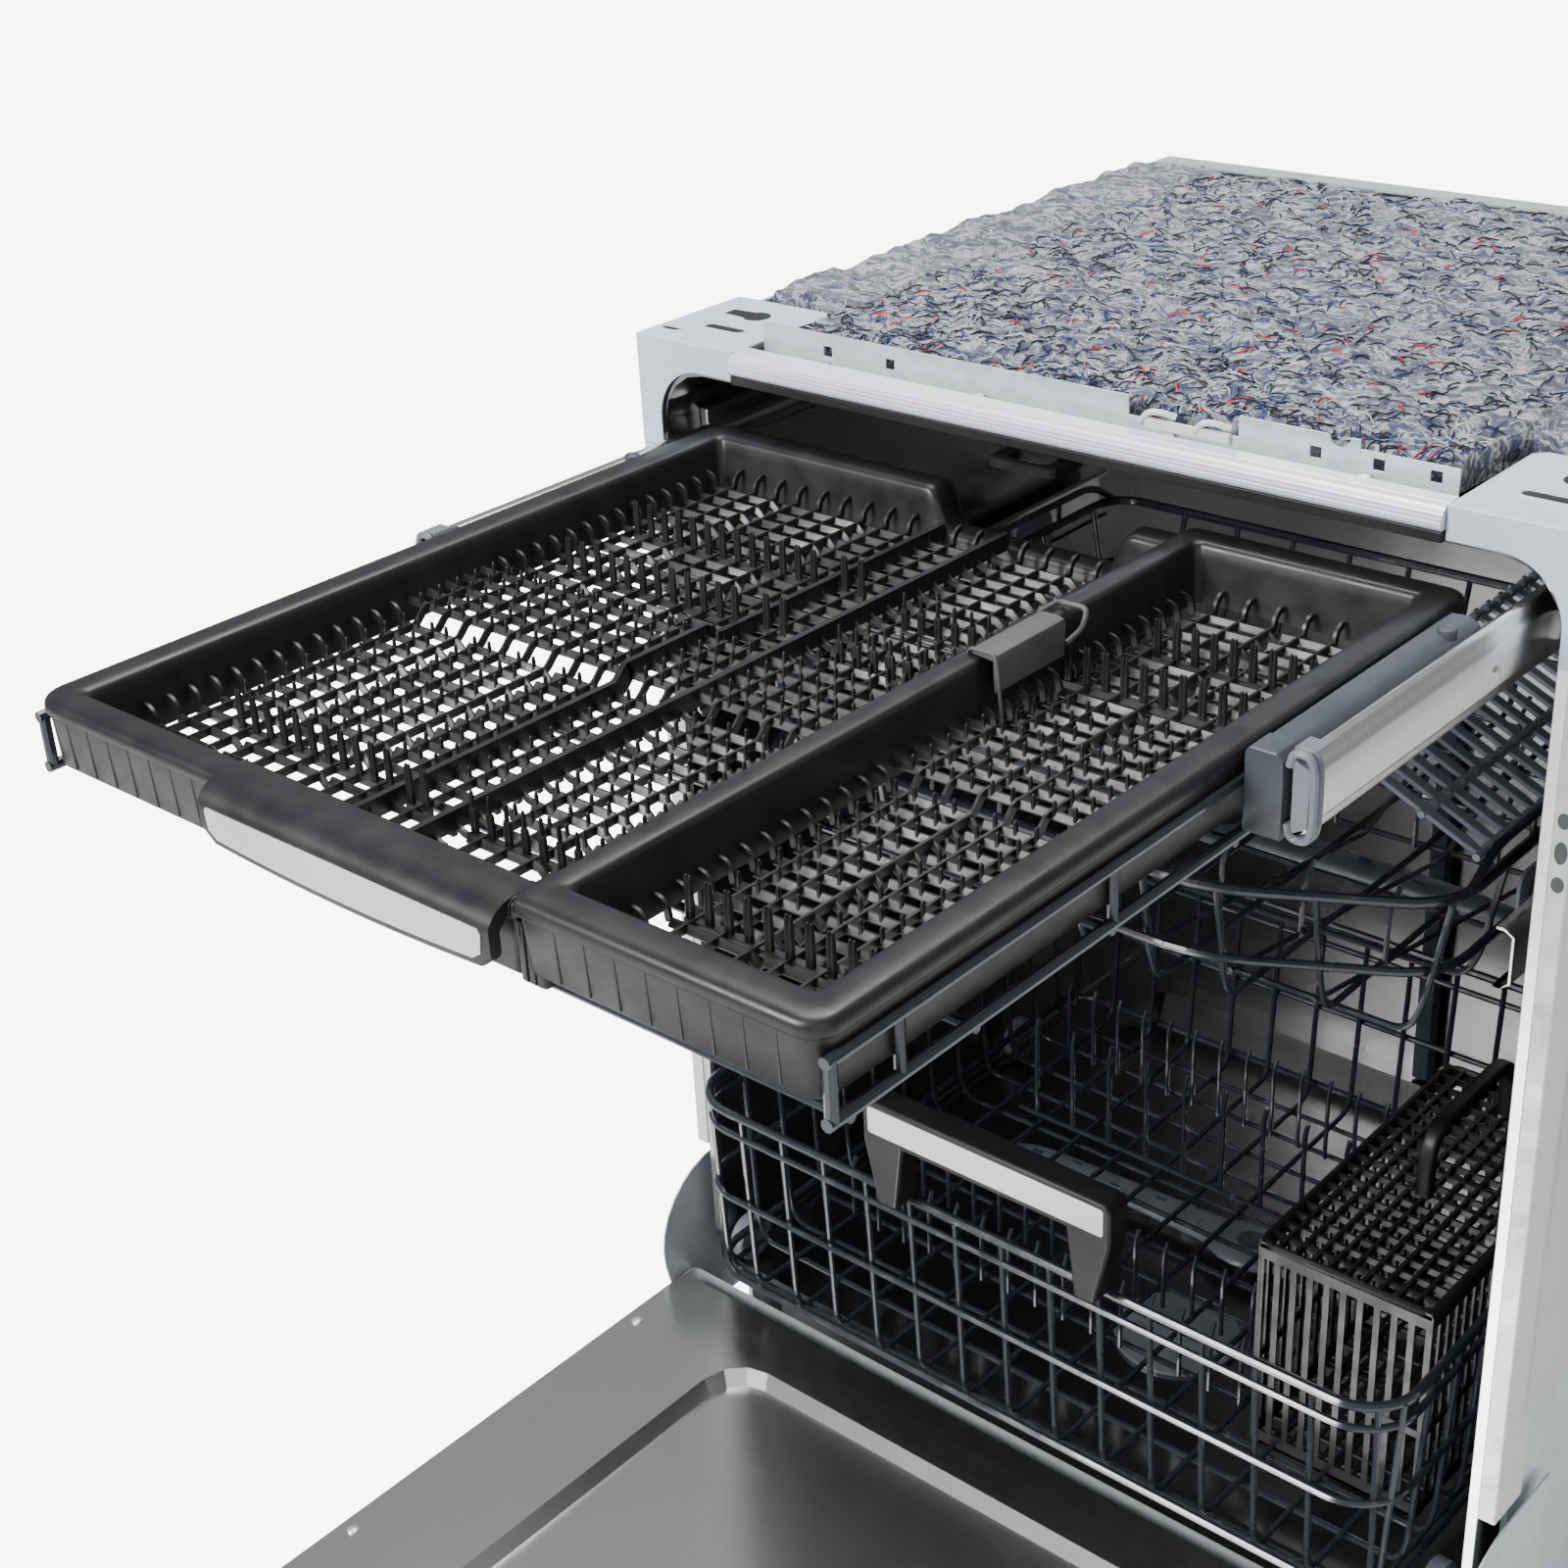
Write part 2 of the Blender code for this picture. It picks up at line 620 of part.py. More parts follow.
def control_fascia():
    half = HALF - 0.002
    fascia = box("control_fascia", (-half, DOOR_END, DOOR_BOTTOM), (half, FASCIA_Y - GAP, DOOR_TOP), BLACK, 0.0035)
    for x in BUTTONS.values():
        pocket = box("button_pocket", (x - 0.011, DOOR_END - 0.01, BUTTON_Z - 0.007),
                     (x + 0.011, DOOR_END + 0.008, BUTTON_Z + 0.007), BLACK)
        cut(fascia, pocket)
    put(DOOR, fascia)


def buttons():
    for name, x in BUTTONS.items():
        body = group(name + "_slide", (x, DOOR_END, BUTTON_Z), DOOR)
        low = (x - 0.0105, DOOR_END - BUTTON_PROUD, BUTTON_Z - 0.0065)
        high = (x + 0.0105, DOOR_END + 0.006, BUTTON_Z + 0.0065)
        put(body, box(name, low, high, GREY, 0.001))


def dispenser():
    """The detergent dispenser in the sunken middle of the inner door."""
    x0, x1 = -0.095, 0.095
    y0, y1 = DISPENSER_Y - 0.062, DISPENSER_Y + 0.062
    low, high = DOOR_TOP - 0.010 + GAP, DOOR_TOP - 0.0005
    body = box("dispenser", (x0, y0, low), (x1, y1, high), GREY, 0.002)
    cut(body, box("dispenser_cup", (-0.080, y0 + 0.012, low + 0.002), (0.020, y1 - 0.012, high + 0.01), GREY))
    put(DOOR, body)
    lid_axis = (-0.0868, DISPENSER_Y, high + GAP + 0.0012)
    lid_body = group("dispenser_lid_hinge", lid_axis, DOOR)
    lid = box("dispenser_lid", (-0.086, y0 + 0.008, high + GAP), (0.026, y1 - 0.008, high + 0.0037), GREY, 0.001)
    put(lid_body, lid)
    cap_body = group("rinse_aid_cap_turn", (0.060, DISPENSER_Y, high), DOOR)
    profile = [(0, 0.0045), (0.016, 0.0045), (0.018, 0.003), (0.018, GAP), (0, GAP)]
    cap = turned("rinse_aid_cap", profile, (0.060, DISPENSER_Y, high), PALE)
    put(cap_body, cap)


# ---------------------------------------------------------------- cutlery drawer


def tray_rings(x0, x1, rim_z, lip, left_rim, right_rim, front, back):
    """A tray's inner surface: outer lip, rim, wall and floor."""
    inset = 0.0025

    def ring(left, right, ends, z, radius):
        return rounded(x0 + left, x1 - right, front + ends, back - ends, radius), z

    return [
        ring(0, 0, 0, rim_z - lip, 0.016),
        ring(0, 0, 0, rim_z - inset, 0.016),
        ring(min(inset, left_rim / 4), min(inset, right_rim / 4), inset, rim_z, 0.015),
        ring(left_rim, right_rim, RIM_WIDTH, rim_z, 0.010),
        ring(left_rim + 0.0015, right_rim + 0.0015, RIM_WIDTH + 0.0015, rim_z - 0.003, 0.009),
        ring(left_rim + 0.005, right_rim + 0.005, RIM_WIDTH + 0.006, TRAY_FLOOR, 0.006),
    ]


def lattice_cutter(name, x0, x1, y0, y1):
    """Boxes that leave a lattice of bars when they are cut out of a floor."""
    columns = round((x1 - x0) / LATTICE_PITCH)
    rows = round((y1 - y0) / LATTICE_PITCH)
    wide, deep = (x1 - x0) / columns, (y1 - y0) / rows
    boxes = []
    for column in range(columns):
        for row in range(rows):
            x, y = x0 + column * wide, y0 + row * deep
            low = (x + LATTICE_BAR / 2, y + LATTICE_BAR / 2, TRAY_FLOOR - 0.01)
            high = (x + wide - LATTICE_BAR / 2, y + deep - LATTICE_BAR / 2, TRAY_FLOOR + 0.01)
            boxes.append((low, high))
    return add_mesh(name, block_mesh(boxes), BLACK)


def tray(name, body, x0, x1, rim_z, lip, left_rim, right_rim, front, back):
    rings = tray_rings(x0, x1, rim_z, lip, left_rim, right_rim, front, back)
    made = shell(name, rings, TRAY_WALL, BLACK)
    edge = 0.014
    cutter = lattice_cutter(name + "_windows", x0 + left_rim + edge, x1 - right_rim - edge,
                            front + RIM_WIDTH + edge, back - RIM_WIDTH - edge)
    put(body, cut(made, cutter))


def main_tray():
    tray("main_tray", DRAWER, -RIM_HALF, SPLIT_X, RIM_Z, 0.0075, RIM_WIDTH, 0.0040, -DRAWER_DEPTH, 0.0)


def right_tray():
    tray("right_tray", RIGHT_TRAY, SPLIT_X - 0.0020, RIM_HALF, RIM_Z + TRAY_LIFT, TRAY_LIFT - 2 * GAP, 0.0120, RIM_WIDTH,
         -DRAWER_DEPTH - 0.002, 0.002)


def tray_grip():
    """The clip over the wall between the trays, with its finger slot."""
    x0, x1 = SPLIT_X - 0.006, SPLIT_X + 0.019
    top = RIM_Z + TRAY_LIFT
    y0, y1 = -0.186, -0.118
    grip = box("tray_grip", (x0, y0, top + GAP), (x1, y1, top + 0.0055), BLACK, 0.0015)
    x2 = x1 - 0.0022
    put(RIGHT_TRAY, join(grip, box("grip_skirt", (x2, y0 + 0.002, top - 0.018), (x1 - 0.0002, y1 - 0.002, top + 0.003), BLACK)))


def drawer_handle():
    """The pull on the drawer's front: a black bow with a steel plate let in."""
    x0, x1 = -0.098, 0.082
    top, low = RIM_Z - 0.001, RIM_Z - 0.030
    front = -DRAWER_DEPTH - 0.0105
    back = -DRAWER_DEPTH - 0.0023
    outline = [(x0, top), (x0 + 0.004, low + 0.006)]
    middle = (x0 + x1) / 2
    for step in range(9):
        share = step / 8
        x = x0 + 0.010 + (x1 - x0 - 0.020) * share
        outline.append((x, low + 0.0035 * ((x - middle) / (x1 - middle)) ** 2))
    outline += [(x1 - 0.004, low + 0.006), (x1, top)]
    handle = plate("drawer_handle", outline, "Y", front, back, BLACK)
    recess = box("handle_recess", (x0 + 0.008, front - 0.01, low + 0.0055),
                 (x1 - 0.008, front + 0.0015, top - 0.0035), BLACK)
    put(DRAWER, cut(handle, recess))
    steel = box("drawer_handle_plate", (x0 + 0.0083, front + 0.0003, low + 0.0058),
                (x1 - 0.0083, front + 0.0012, top - 0.0038), SATIN)
    put(DRAWER, steel)


def drawer_wire_frame():
    """The wire cradle under the trays: a ladder along each side and rungs across."""
    half = RIM_HALF - 0.0014
    top, low = RIM_Z - 0.012, RIM_Z - 0.0375
    front, back = -DRAWER_DEPTH + 0.0045, -0.010
    length = back - front
    panels = [((-half, front, low), (2 * half, 0, 0), (0, length, 0), 1, 6)]
    for x in (-half, half):
        panels.append(((x, front, low), (0, length, 0), (0, 0, top - low), 6, 1))
    put(DRAWER, wire_frame("drawer_wire_frame", panels, WIRES))


def drawer_bracket(side, sign):
    """The moulded carrier that clips the cradle to the rail."""
    x0, x1 = span(sign, RIM_HALF + 0.0026, RAIL_X - 0.0022)
    y0, y1 = -0.205, -0.022
    drop = LEFT_BRACKET_DROP if sign < 0 else 0.0
    z0, z1 = RAIL_Z - 0.0215, RAIL_Z + 0.0175 - drop
    bracket = box(f"drawer_bracket_{side}", (x0, y0, z0), (x1, y1, z1), DARK, 0.003)
    for y in (y0 + 0.030, y1 - 0.028):
        low, high = (x0 - 0.02, y - 0.005, z1 - 0.0195), (x1 + 0.02, y + 0.005, z1 - 0.0075)
        cut(bracket, box("bracket_window", low, high, DARK))
    put(DRAWER, bracket)


def middle_rail(side, sign):
    """The rail's middle member, a channel with rolled edges, half out with the drawer."""
    wall = 0.0016
    drop = LEFT_RAIL_DROP if sign < 0 else 0.0
    z0, z1 = RAIL_Z - RAIL_HEIGHT / 2, RAIL_Z + RAIL_HEIGHT / 2 - drop
    inner, outer = RAIL_X, RAIL_X + RAIL_DEPTH
    outline = [(inner, z0), (outer - 0.002, z0), (outer, z0 + 0.002), (outer, z1 - 0.002), (outer - 0.002, z1)]
    outline += [(inner, z1), (inner, z1 - wall), (outer - 0.003, z1 - wall), (outer - wall, z1 - 0.004)]
    outline += [(outer - wall, z0 + 0.004), (outer - 0.003, z0 + wall), (inner, z0 + wall)]
    outline = [(sign * x, z) for x, z in outline]
    put(MIDDLE_RAILS, plate(f"drawer_rail_{side}", outline, "Y", -0.2035, 0.2365, STEEL))


# ---------------------------------------------------------------- upper rack


def basket_panels(half, front, back, low, levels, columns, rows):
    """Panels of an open-topped basket: its floor and, between each two levels, its four sides."""
    wide, deep = 2 * half, back - front
    panels = [((-half, front, low), (wide, 0, 0), (0, deep, 0), columns, rows)]
    for z0, z1 in zip(levels, levels[1:]):
        up = (0, 0, z1 - z0)
        panels.append(((-half, front, z0), (wide, 0, 0), up, columns, 1))
        panels.append(((-half, back, z0), (wide, 0, 0), up, columns, 1))
        panels.append(((-half, front, z0), (0, deep, 0), up, rows, 1))
        panels.append(((half, front, z0), (0, deep, 0), up, rows, 1))
    return panels


def upper_rack():
    low = UPPER_TOP - UPPER_RACK_HEIGHT
    levels = (low, UPPER_TOP - 0.044, UPPER_TOP)
    panels = basket_panels(UPPER_HALF, UPPER_FRONT, UPPER_FRONT + UPPER_RACK_DEPTH, low, levels, 5, 5)
    put(UPPER_RACK, wire_frame("upper_rack", panels, WIRES))


def upper_rack_rail(side, sign):
    x0, x1 = span(sign, TUB_HALF - 0.0175, TUB_HALF - 0.0075)
    low, high = (x0, 0.003, UPPER_TOP - 0.030), (x1, 0.003 + 0.440, UPPER_TOP + 0.004)
    put(UPPER_RAILS, box(f"upper_rack_rail_{side}", low, high, STEEL, 0.002))


def cup_shelf():
    """The fold-down shelf along the upper rack's right side, leaning inwards."""
    axis = SHELF_AXIS
    length = SHELF_LENGTH
    panel = ((-SHELF_WIDTH, axis[1], 0), (SHELF_WIDTH - 0.003, 0, 0), (0, length, 0), 3, 6)
    shelf = wire_frame("cup_shelf", [panel], GREY)
    turn = Matrix.Translation((axis[0], 0, axis[2])) @ Matrix.Rotation(SHELF_TILT, 4, "Y")
    shelf.data.transform(turn)
    put(SHELF, shelf)


def spray_arm(name, body, at, low, high):
    """A two-bladed spray arm on its hub."""
    x, y = at
    tip, half = ARM_LENGTH / 2, ARM_WIDTH / 2
    outline = arc((tip - 0.016, 0), 0.016, -80, 80, 6) + arc((0, 0), half, 70, 110, 3)
    outline += arc((-tip + 0.016, 0), 0.016, 100, 260, 6) + arc((0, 0), half, 250, 290, 3)
    outline = [(x + u, y + v) for u, v in outline]
    arm = plate(name, outline, "Z", low, high, GREY)
    soften(arm, 0.003)
    put(body, arm)


# ---------------------------------------------------------------- lower rack


def lower_rack():
    levels = (LOWER_BOTTOM, LOWER_BOTTOM + 0.077, LOWER_TOP)
    back = LOWER_FRONT + LOWER_RACK_DEPTH
    panels = basket_panels(LOWER_HALF, LOWER_FRONT, back, LOWER_BOTTOM, levels, 6, 5)
    put(LOWER_RACK, wire_frame("lower_rack", panels, WIRES))


def lower_handle():
    """The pull on the lower rack: a black bar on two legs, with a steel plate let in."""
    half = 0.089
    low, high = LOWER_TOP + 0.046, LOWER_TOP + 0.0755
    front, back = LOWER_FRONT - 0.018, LOWER_FRONT + 0.001
    foot = LOWER_TOP + WIRE / 2 + GAP
    outline = [(-half, high), (-half, low), (-half + 0.012, foot), (-half + 0.026, foot), (-half + 0.030, low + 0.001)]
    outline += [(half - 0.030, low + 0.001), (half - 0.026, foot), (half - 0.012, foot), (half, low), (half, high)]
    handle = plate("lower_handle", outline, "Y", front, back, BLACK)
    recess = box("lower_handle_recess", (-half + 0.004, front - 0.01, low + 0.004),
                 (half - 0.004, front + 0.0015, high - 0.003), BLACK)
    put(LOWER_RACK, cut(handle, recess))
    steel = box("lower_handle_plate", (-half + 0.0043, front + 0.0003, low + 0.0043),
                (half - 0.0043, front + 0.0012, high - 0.0033), SATIN)
    put(LOWER_RACK, steel)


def lower_tines():
    """A row of plate tines that folds down on its bar."""
    x0, x1 = -LOWER_HALF + 0.060, 0.090
    count = 9
    pitch = (x1 - x0) / count
    low = LOWER_BOTTOM + 0.0075
    outline = [(x0, low - 0.002), (x1, low - 0.002), (x1, low + 0.002)]
    for step in range(count):
        x = x1 - pitch * (step + 0.5)
        outline += [(x + 0.002, low + 0.002), (x + 0.002, low + 0.085), (x - 0.002, low + 0.085), (x - 0.002, low + 0.002)]
    outline.append((x0, low + 0.002))
    put(TINES, plate("lower_tines", outline, "Y", TINES_AXIS[1] - 0.002, TINES_AXIS[1] + 0.002, WIRES))


def wheels():
    profile = [(0, WHEEL_WIDTH / 2), (WHEEL_RADIUS - 0.0015, WHEEL_WIDTH / 2), (WHEEL_RADIUS, WHEEL_WIDTH / 2 - 0.0015)]
    profile += [(WHEEL_RADIUS, -WHEEL_WIDTH / 2 + 0.0015), (WHEEL_RADIUS - 0.0015, -WHEEL_WIDTH / 2), (0, -WHEEL_WIDTH / 2)]
    for name, centre in WHEELS.items():
        body = group(name + "_axle", centre, LOWER_RACK)
        wheel = turned(name, profile, centre, GREY)
        wheel.rotation_euler = (0, math.pi / 2, 0)
        put(body, wheel)


def cutlery_basket():
    x0, x1 = BASKET_X - 0.055, BASKET_X + 0.053
    y0, y1 = 0.040, 0.270
    low = LOWER_BOTTOM + WIRE / 2 + GAP
    rings = [(rounded(x0, x1, y0, y1, 0.010), BASKET_TOP), (rounded(x0 + 0.004, x1 - 0.004, y0 + 0.004, y1 - 0.004, 0.010), low + 0.002)]
    basket = shell("cutlery_basket", rings, 0.002, BLACK)
    put(LOWER_RACK, basket)
    z = BASKET_TOP + 0.006
    top = BASKET_TOP + 0.048
    points = [(BASKET_X, 0.130, z)]
    points += [(BASKET_X, y, zz) for y, zz in arc((0.150, top - 0.020), 0.020, 180, 90, 4)]
    points += [(BASKET_X, y, zz) for y, zz in arc((0.215, top - 0.020), 0.020, 90, 0, 4)]
    points += [(BASKET_X, 0.235, z)]
    put(BASKET_HANDLE, tube("basket_handle", points, 0.0055, BLACK))


# ---------------------------------------------------------------- assembly

FILTER_AT = (0.0, 0.150)
ARM_AT = (0.0, RACK_MIDDLE_Y)
SPLIT_X = RIM_HALF - RIGHT_TRAY_WIDTH + 0.0020
BUTTON_Z = (DOOR_TOP + DOOR_BOTTOM) / 2
BUTTONS = {"power_button": -HALF + 0.060, "start_button": HALF - 0.060}
DISPENSER_Y = (HINGE_Y + DOOR_END) / 2 + 0.010
SHELF_AXIS = (UPPER_HALF - 0.003, 0.045, UPPER_TOP + 0.012)
TINES_AXIS = (0.0, 0.235, LOWER_BOTTOM + 0.0075)
BASKET_X = 0.180
BASKET_TOP = LOWER_TOP + 0.004
WHEELS = {}
for depth_name, wheel_y in (("front", LOWER_FRONT + 0.060), ("rear", LOWER_FRONT + LOWER_RACK_DEPTH - 0.060)):
    for side_name, side_sign in (("left", -1), ("right", 1)):
        wheel_x = side_sign * (LOWER_HALF + WIRE / 2 + 0.0015 + WHEEL_WIDTH / 2)
        WHEELS[f"wheel_{depth_name}_{side_name}"] = (wheel_x, wheel_y, TUB_FLOOR + WHEEL_GAP + WHEEL_RADIUS)

FRAME = group("dishwasher")
FRAME[0].location.y = FRONT_Y
CABINET = group("cabinet", (0, 0, 0), FRAME)
DOOR = group("door_hinge", (0, HINGE_Y, HINGE_Z), FRAME)
DRAWER = group("drawer_slide", (0, 0, RAIL_Z), FRAME)
RIGHT_TRAY = group("right_tray_lift", (SPLIT_X, 0, RIM_Z), DRAWER)
MIDDLE_RAILS = group("drawer_rail_slide", (0, 0, RAIL_Z), FRAME)
UPPER_RACK = group("upper_rack_slide", (0, 0, UPPER_TOP), FRAME)
UPPER_RAILS = group("upper_rail_slide", (0, 0, UPPER_TOP), FRAME)
SHELF = group("cup_shelf_hinge", SHELF_AXIS, UPPER_RACK)
UPPER_ARM_AT = (0.0, UPPER_FRONT + UPPER_RACK_DEPTH / 2)
UPPER_ARM = group("upper_arm_spin", (*UPPER_ARM_AT, UPPER_TOP - 0.100), UPPER_RACK)
LOWER_ARM = group("lower_arm_spin", (*ARM_AT, BASIN_FLOOR + 0.012), FRAME)
LOWER_RACK = group("lower_rack_slide", (0, 0, LOWER_BOTTOM), FRAME)
TINES = group("tine_fold", TINES_AXIS, LOWER_RACK)
BASKET_HANDLE = group("basket_handle_fold", (BASKET_X, 0.185, BASKET_TOP + 0.006), LOWER_RACK)
FILTER = group("filter_turn", (*FILTER_AT, BASIN_FLOOR), FRAME)


def filter_cup():
    """The filter, which turns to unlock, with its grip on top."""
    z = BASIN_FLOOR
    profile = [(0, z + 0.0045), (0.012, z + 0.0045), (0.043, z + 0.003), (0.043, z + GAP), (0.0345, z + GAP)]
    profile += [(0.0335, 0.060), (0, 0.060)]
    put(FILTER, turned("filter", profile, (*FILTER_AT, 0), GREY))


make_tub()
for maker in (corner_bracket, side_frame, side_panel, hinge_bracket, fixed_rail):
    both_sides(maker)
for maker in (trim_bead, cross_rail, insulation_mat, rear_panel, base_tray, feet, sump, feed_pipe, latch_striker):
    maker()
pump("circulation_pump", 0.036, 0.150, (0.112, 0.330, 0.078), PALE)
pump("drain_pump", 0.024, 0.090, (-0.205, 0.330, 0.070), NATURAL)
for maker in (door_liner, door_panel, control_fascia, buttons, dispenser):
    maker()
for maker in (main_tray, right_tray, tray_grip, drawer_handle, drawer_wire_frame):
    maker()
both_sides(drawer_bracket)
both_sides(middle_rail)
upper_rack()
both_sides(upper_rack_rail)
cup_shelf()
spray_arm("upper_spray_arm", UPPER_ARM, UPPER_ARM_AT, UPPER_TOP - 0.106, UPPER_TOP - 0.095)
spray_arm("lower_spray_arm", LOWER_ARM, ARM_AT, BASIN_FLOOR + 0.012, BASIN_FLOOR + 0.023)
filter_cup()
for maker in (lower_rack, lower_handle, lower_tines, wheels, cutlery_basket):
    maker()
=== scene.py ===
"""The looks of the built-in dishwasher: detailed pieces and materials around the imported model.
Shapes are given in the cabinet's own frame, in metres, whose Y starts at the cabinet's front."""

import json
import math
import random

import bmesh
import bpy
from mathutils import Matrix, Vector


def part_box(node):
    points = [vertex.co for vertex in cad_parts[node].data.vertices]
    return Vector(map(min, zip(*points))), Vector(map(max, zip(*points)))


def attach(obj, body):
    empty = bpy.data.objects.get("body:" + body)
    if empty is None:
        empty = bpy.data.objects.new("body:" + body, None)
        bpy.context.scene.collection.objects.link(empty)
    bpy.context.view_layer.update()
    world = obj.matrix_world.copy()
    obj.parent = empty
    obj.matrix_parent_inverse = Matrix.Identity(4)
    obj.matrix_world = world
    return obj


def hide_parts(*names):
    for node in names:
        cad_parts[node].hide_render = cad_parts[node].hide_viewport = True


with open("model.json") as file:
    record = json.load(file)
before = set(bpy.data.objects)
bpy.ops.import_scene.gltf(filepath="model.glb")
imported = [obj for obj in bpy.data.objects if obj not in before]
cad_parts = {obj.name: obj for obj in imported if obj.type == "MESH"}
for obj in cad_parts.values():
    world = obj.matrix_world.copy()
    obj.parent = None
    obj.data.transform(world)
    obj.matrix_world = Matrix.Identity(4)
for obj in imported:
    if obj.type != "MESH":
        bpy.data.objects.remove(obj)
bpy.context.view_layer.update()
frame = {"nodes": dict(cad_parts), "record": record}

SHEET = 0.0015  # the cabinet's sheet metal
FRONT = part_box("side_frame_left")[0].y + SHEET


def cad(node):
    """A CAD node's lowest and highest corners in the cabinet's frame."""
    low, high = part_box(node)
    shift = Vector((0, FRONT, 0))
    return low - shift, high - shift


HALF = cad("side_frame_right")[1].x
TOP = cad("corner_bracket_left")[1].z
TUB_LOW, TUB_HIGH = cad("tub")
TRAY_LOW, TRAY_HIGH = cad("main_tray")
RIGHT_LOW, RIGHT_HIGH = cad("right_tray")
RIM_Z = TRAY_HIGH.z
RIM_HALF = -TRAY_LOW.x


# ---------------------------------------------------------------- materials


def surface(name, colour, roughness, metallic=0.0, grain=900.0, depth=0.00002, stretch=(1, 1, 1),
            mottle=0.15, smudge=0.10, coat=0.0, mottle_scale=14.0):
    """A Principled material with fine grain, slow tone changes and smudges, all from solid noise."""
    material = bpy.data.materials.new(name)
    material.use_nodes = True
    nodes, links = material.node_tree.nodes, material.node_tree.links
    shader = nodes["Principled BSDF"]
    shader.inputs["Metallic"].default_value = metallic
    shader.inputs["Coat Weight"].default_value = coat
    place = nodes.new("ShaderNodeTexCoord")
    mapping = nodes.new("ShaderNodeMapping")
    mapping.inputs["Scale"].default_value = stretch
    links.new(place.outputs["Object"], mapping.inputs["Vector"])

    def noise(scale, detail, source):
        texture = nodes.new("ShaderNodeTexNoise")
        texture.inputs["Scale"].default_value = scale
        texture.inputs["Detail"].default_value = detail
        links.new(source.outputs[0 if source is mapping else "Object"], texture.inputs["Vector"])
        return texture

    fine = noise(grain, 3, mapping)
    slow = noise(mottle_scale, 4, place)
    smear = noise(mottle_scale * 4, 5, mapping)
    tone = nodes.new("ShaderNodeValToRGB")
    dark = [c * (1 - mottle) for c in colour]
    light = [min(1.0, c * (1 + mottle)) for c in colour]
    tone.color_ramp.elements[0].color = (*dark, 1)
    tone.color_ramp.elements[0].position = 0.3
    tone.color_ramp.elements[1].color = (*light, 1)
    tone.color_ramp.elements[1].position = 0.7
    mix = nodes.new("ShaderNodeMath")
    mix.operation = "MULTIPLY_ADD"
    mix.inputs[1].default_value = 0.45
    half = nodes.new("ShaderNodeMath")
    half.operation = "MULTIPLY"
    half.inputs[1].default_value = 0.55
    links.new(slow.outputs["Fac"], half.inputs[0])
    links.new(fine.outputs["Fac"], mix.inputs[0])
    links.new(half.outputs[0], mix.inputs[2])
    links.new(mix.outputs[0], tone.inputs["Fac"])
    links.new(tone.outputs["Color"], shader.inputs["Base Color"])
    rough = nodes.new("ShaderNodeMapRange")
    rough.inputs["From Min"].default_value = 0.3
    rough.inputs["From Max"].default_value = 0.7
    rough.inputs["To Min"].default_value = max(0.03, roughness - smudge)
    rough.inputs["To Max"].default_value = min(1.0, roughness + smudge)
    links.new(smear.outputs["Fac"], rough.inputs["Value"])
    links.new(rough.outputs["Result"], shader.inputs["Roughness"])
    bump = nodes.new("ShaderNodeBump")
    bump.inputs["Distance"].default_value = depth
    links.new(fine.outputs["Fac"], bump.inputs["Height"])
    links.new(bump.outputs["Normal"], shader.inputs["Normal"])
    return material


def felt_material(name, ramp):
    """Matted fibres: thin wandering streaks that take their colours from a ramp."""
    material = bpy.data.materials.new(name)
    material.use_nodes = True
    nodes, links = material.node_tree.nodes, material.node_tree.links
    shader = nodes["Principled BSDF"]
    shader.inputs["Roughness"].default_value = 0.95
    shader.inputs["Sheen Weight"].default_value = 0.3
    place = nodes.new("ShaderNodeTexCoord")
    warp = nodes.new("ShaderNodeTexNoise")
    warp.inputs["Scale"].default_value = 45
    warp.inputs["Detail"].default_value = 3
    links.new(place.outputs["Object"], warp.inputs["Vector"])
    shift = nodes.new("ShaderNodeVectorMath")
    shift.operation = "MULTIPLY_ADD"
    shift.inputs[1].default_value = (0.05, 0.05, 0.02)
    links.new(warp.outputs["Color"], shift.inputs[0])
    links.new(place.outputs["Object"], shift.inputs[2])
    stretch = nodes.new("ShaderNodeMapping")
    stretch.inputs["Scale"].default_value = (60, 210, 120)
    links.new(shift.outputs[0], stretch.inputs["Vector"])
    streaks = nodes.new("ShaderNodeTexNoise")
    streaks.inputs["Scale"].default_value = 1.0
    streaks.inputs["Detail"].default_value = 6
    streaks.inputs["Roughness"].default_value = 0.75
    links.new(stretch.outputs[0], streaks.inputs["Vector"])
    colours = nodes.new("ShaderNodeValToRGB")
    elements = colours.color_ramp.elements
    while len(elements) > 1:
        elements.remove(elements[-1])
    elements[0].position, elements[0].color = ramp[0][0], (*ramp[0][1], 1)
    for position, colour in ramp[1:]:
        elements.new(position).color = (*colour, 1)
    links.new(streaks.outputs["Fac"], colours.inputs["Fac"])
    links.new(colours.outputs["Color"], shader.inputs["Base Color"])
    bump = nodes.new("ShaderNodeBump")
    bump.inputs["Distance"].default_value = 0.002
    links.new(streaks.outputs["Fac"], bump.inputs["Height"])
    links.new(bump.outputs["Normal"], shader.inputs["Normal"])
    return material


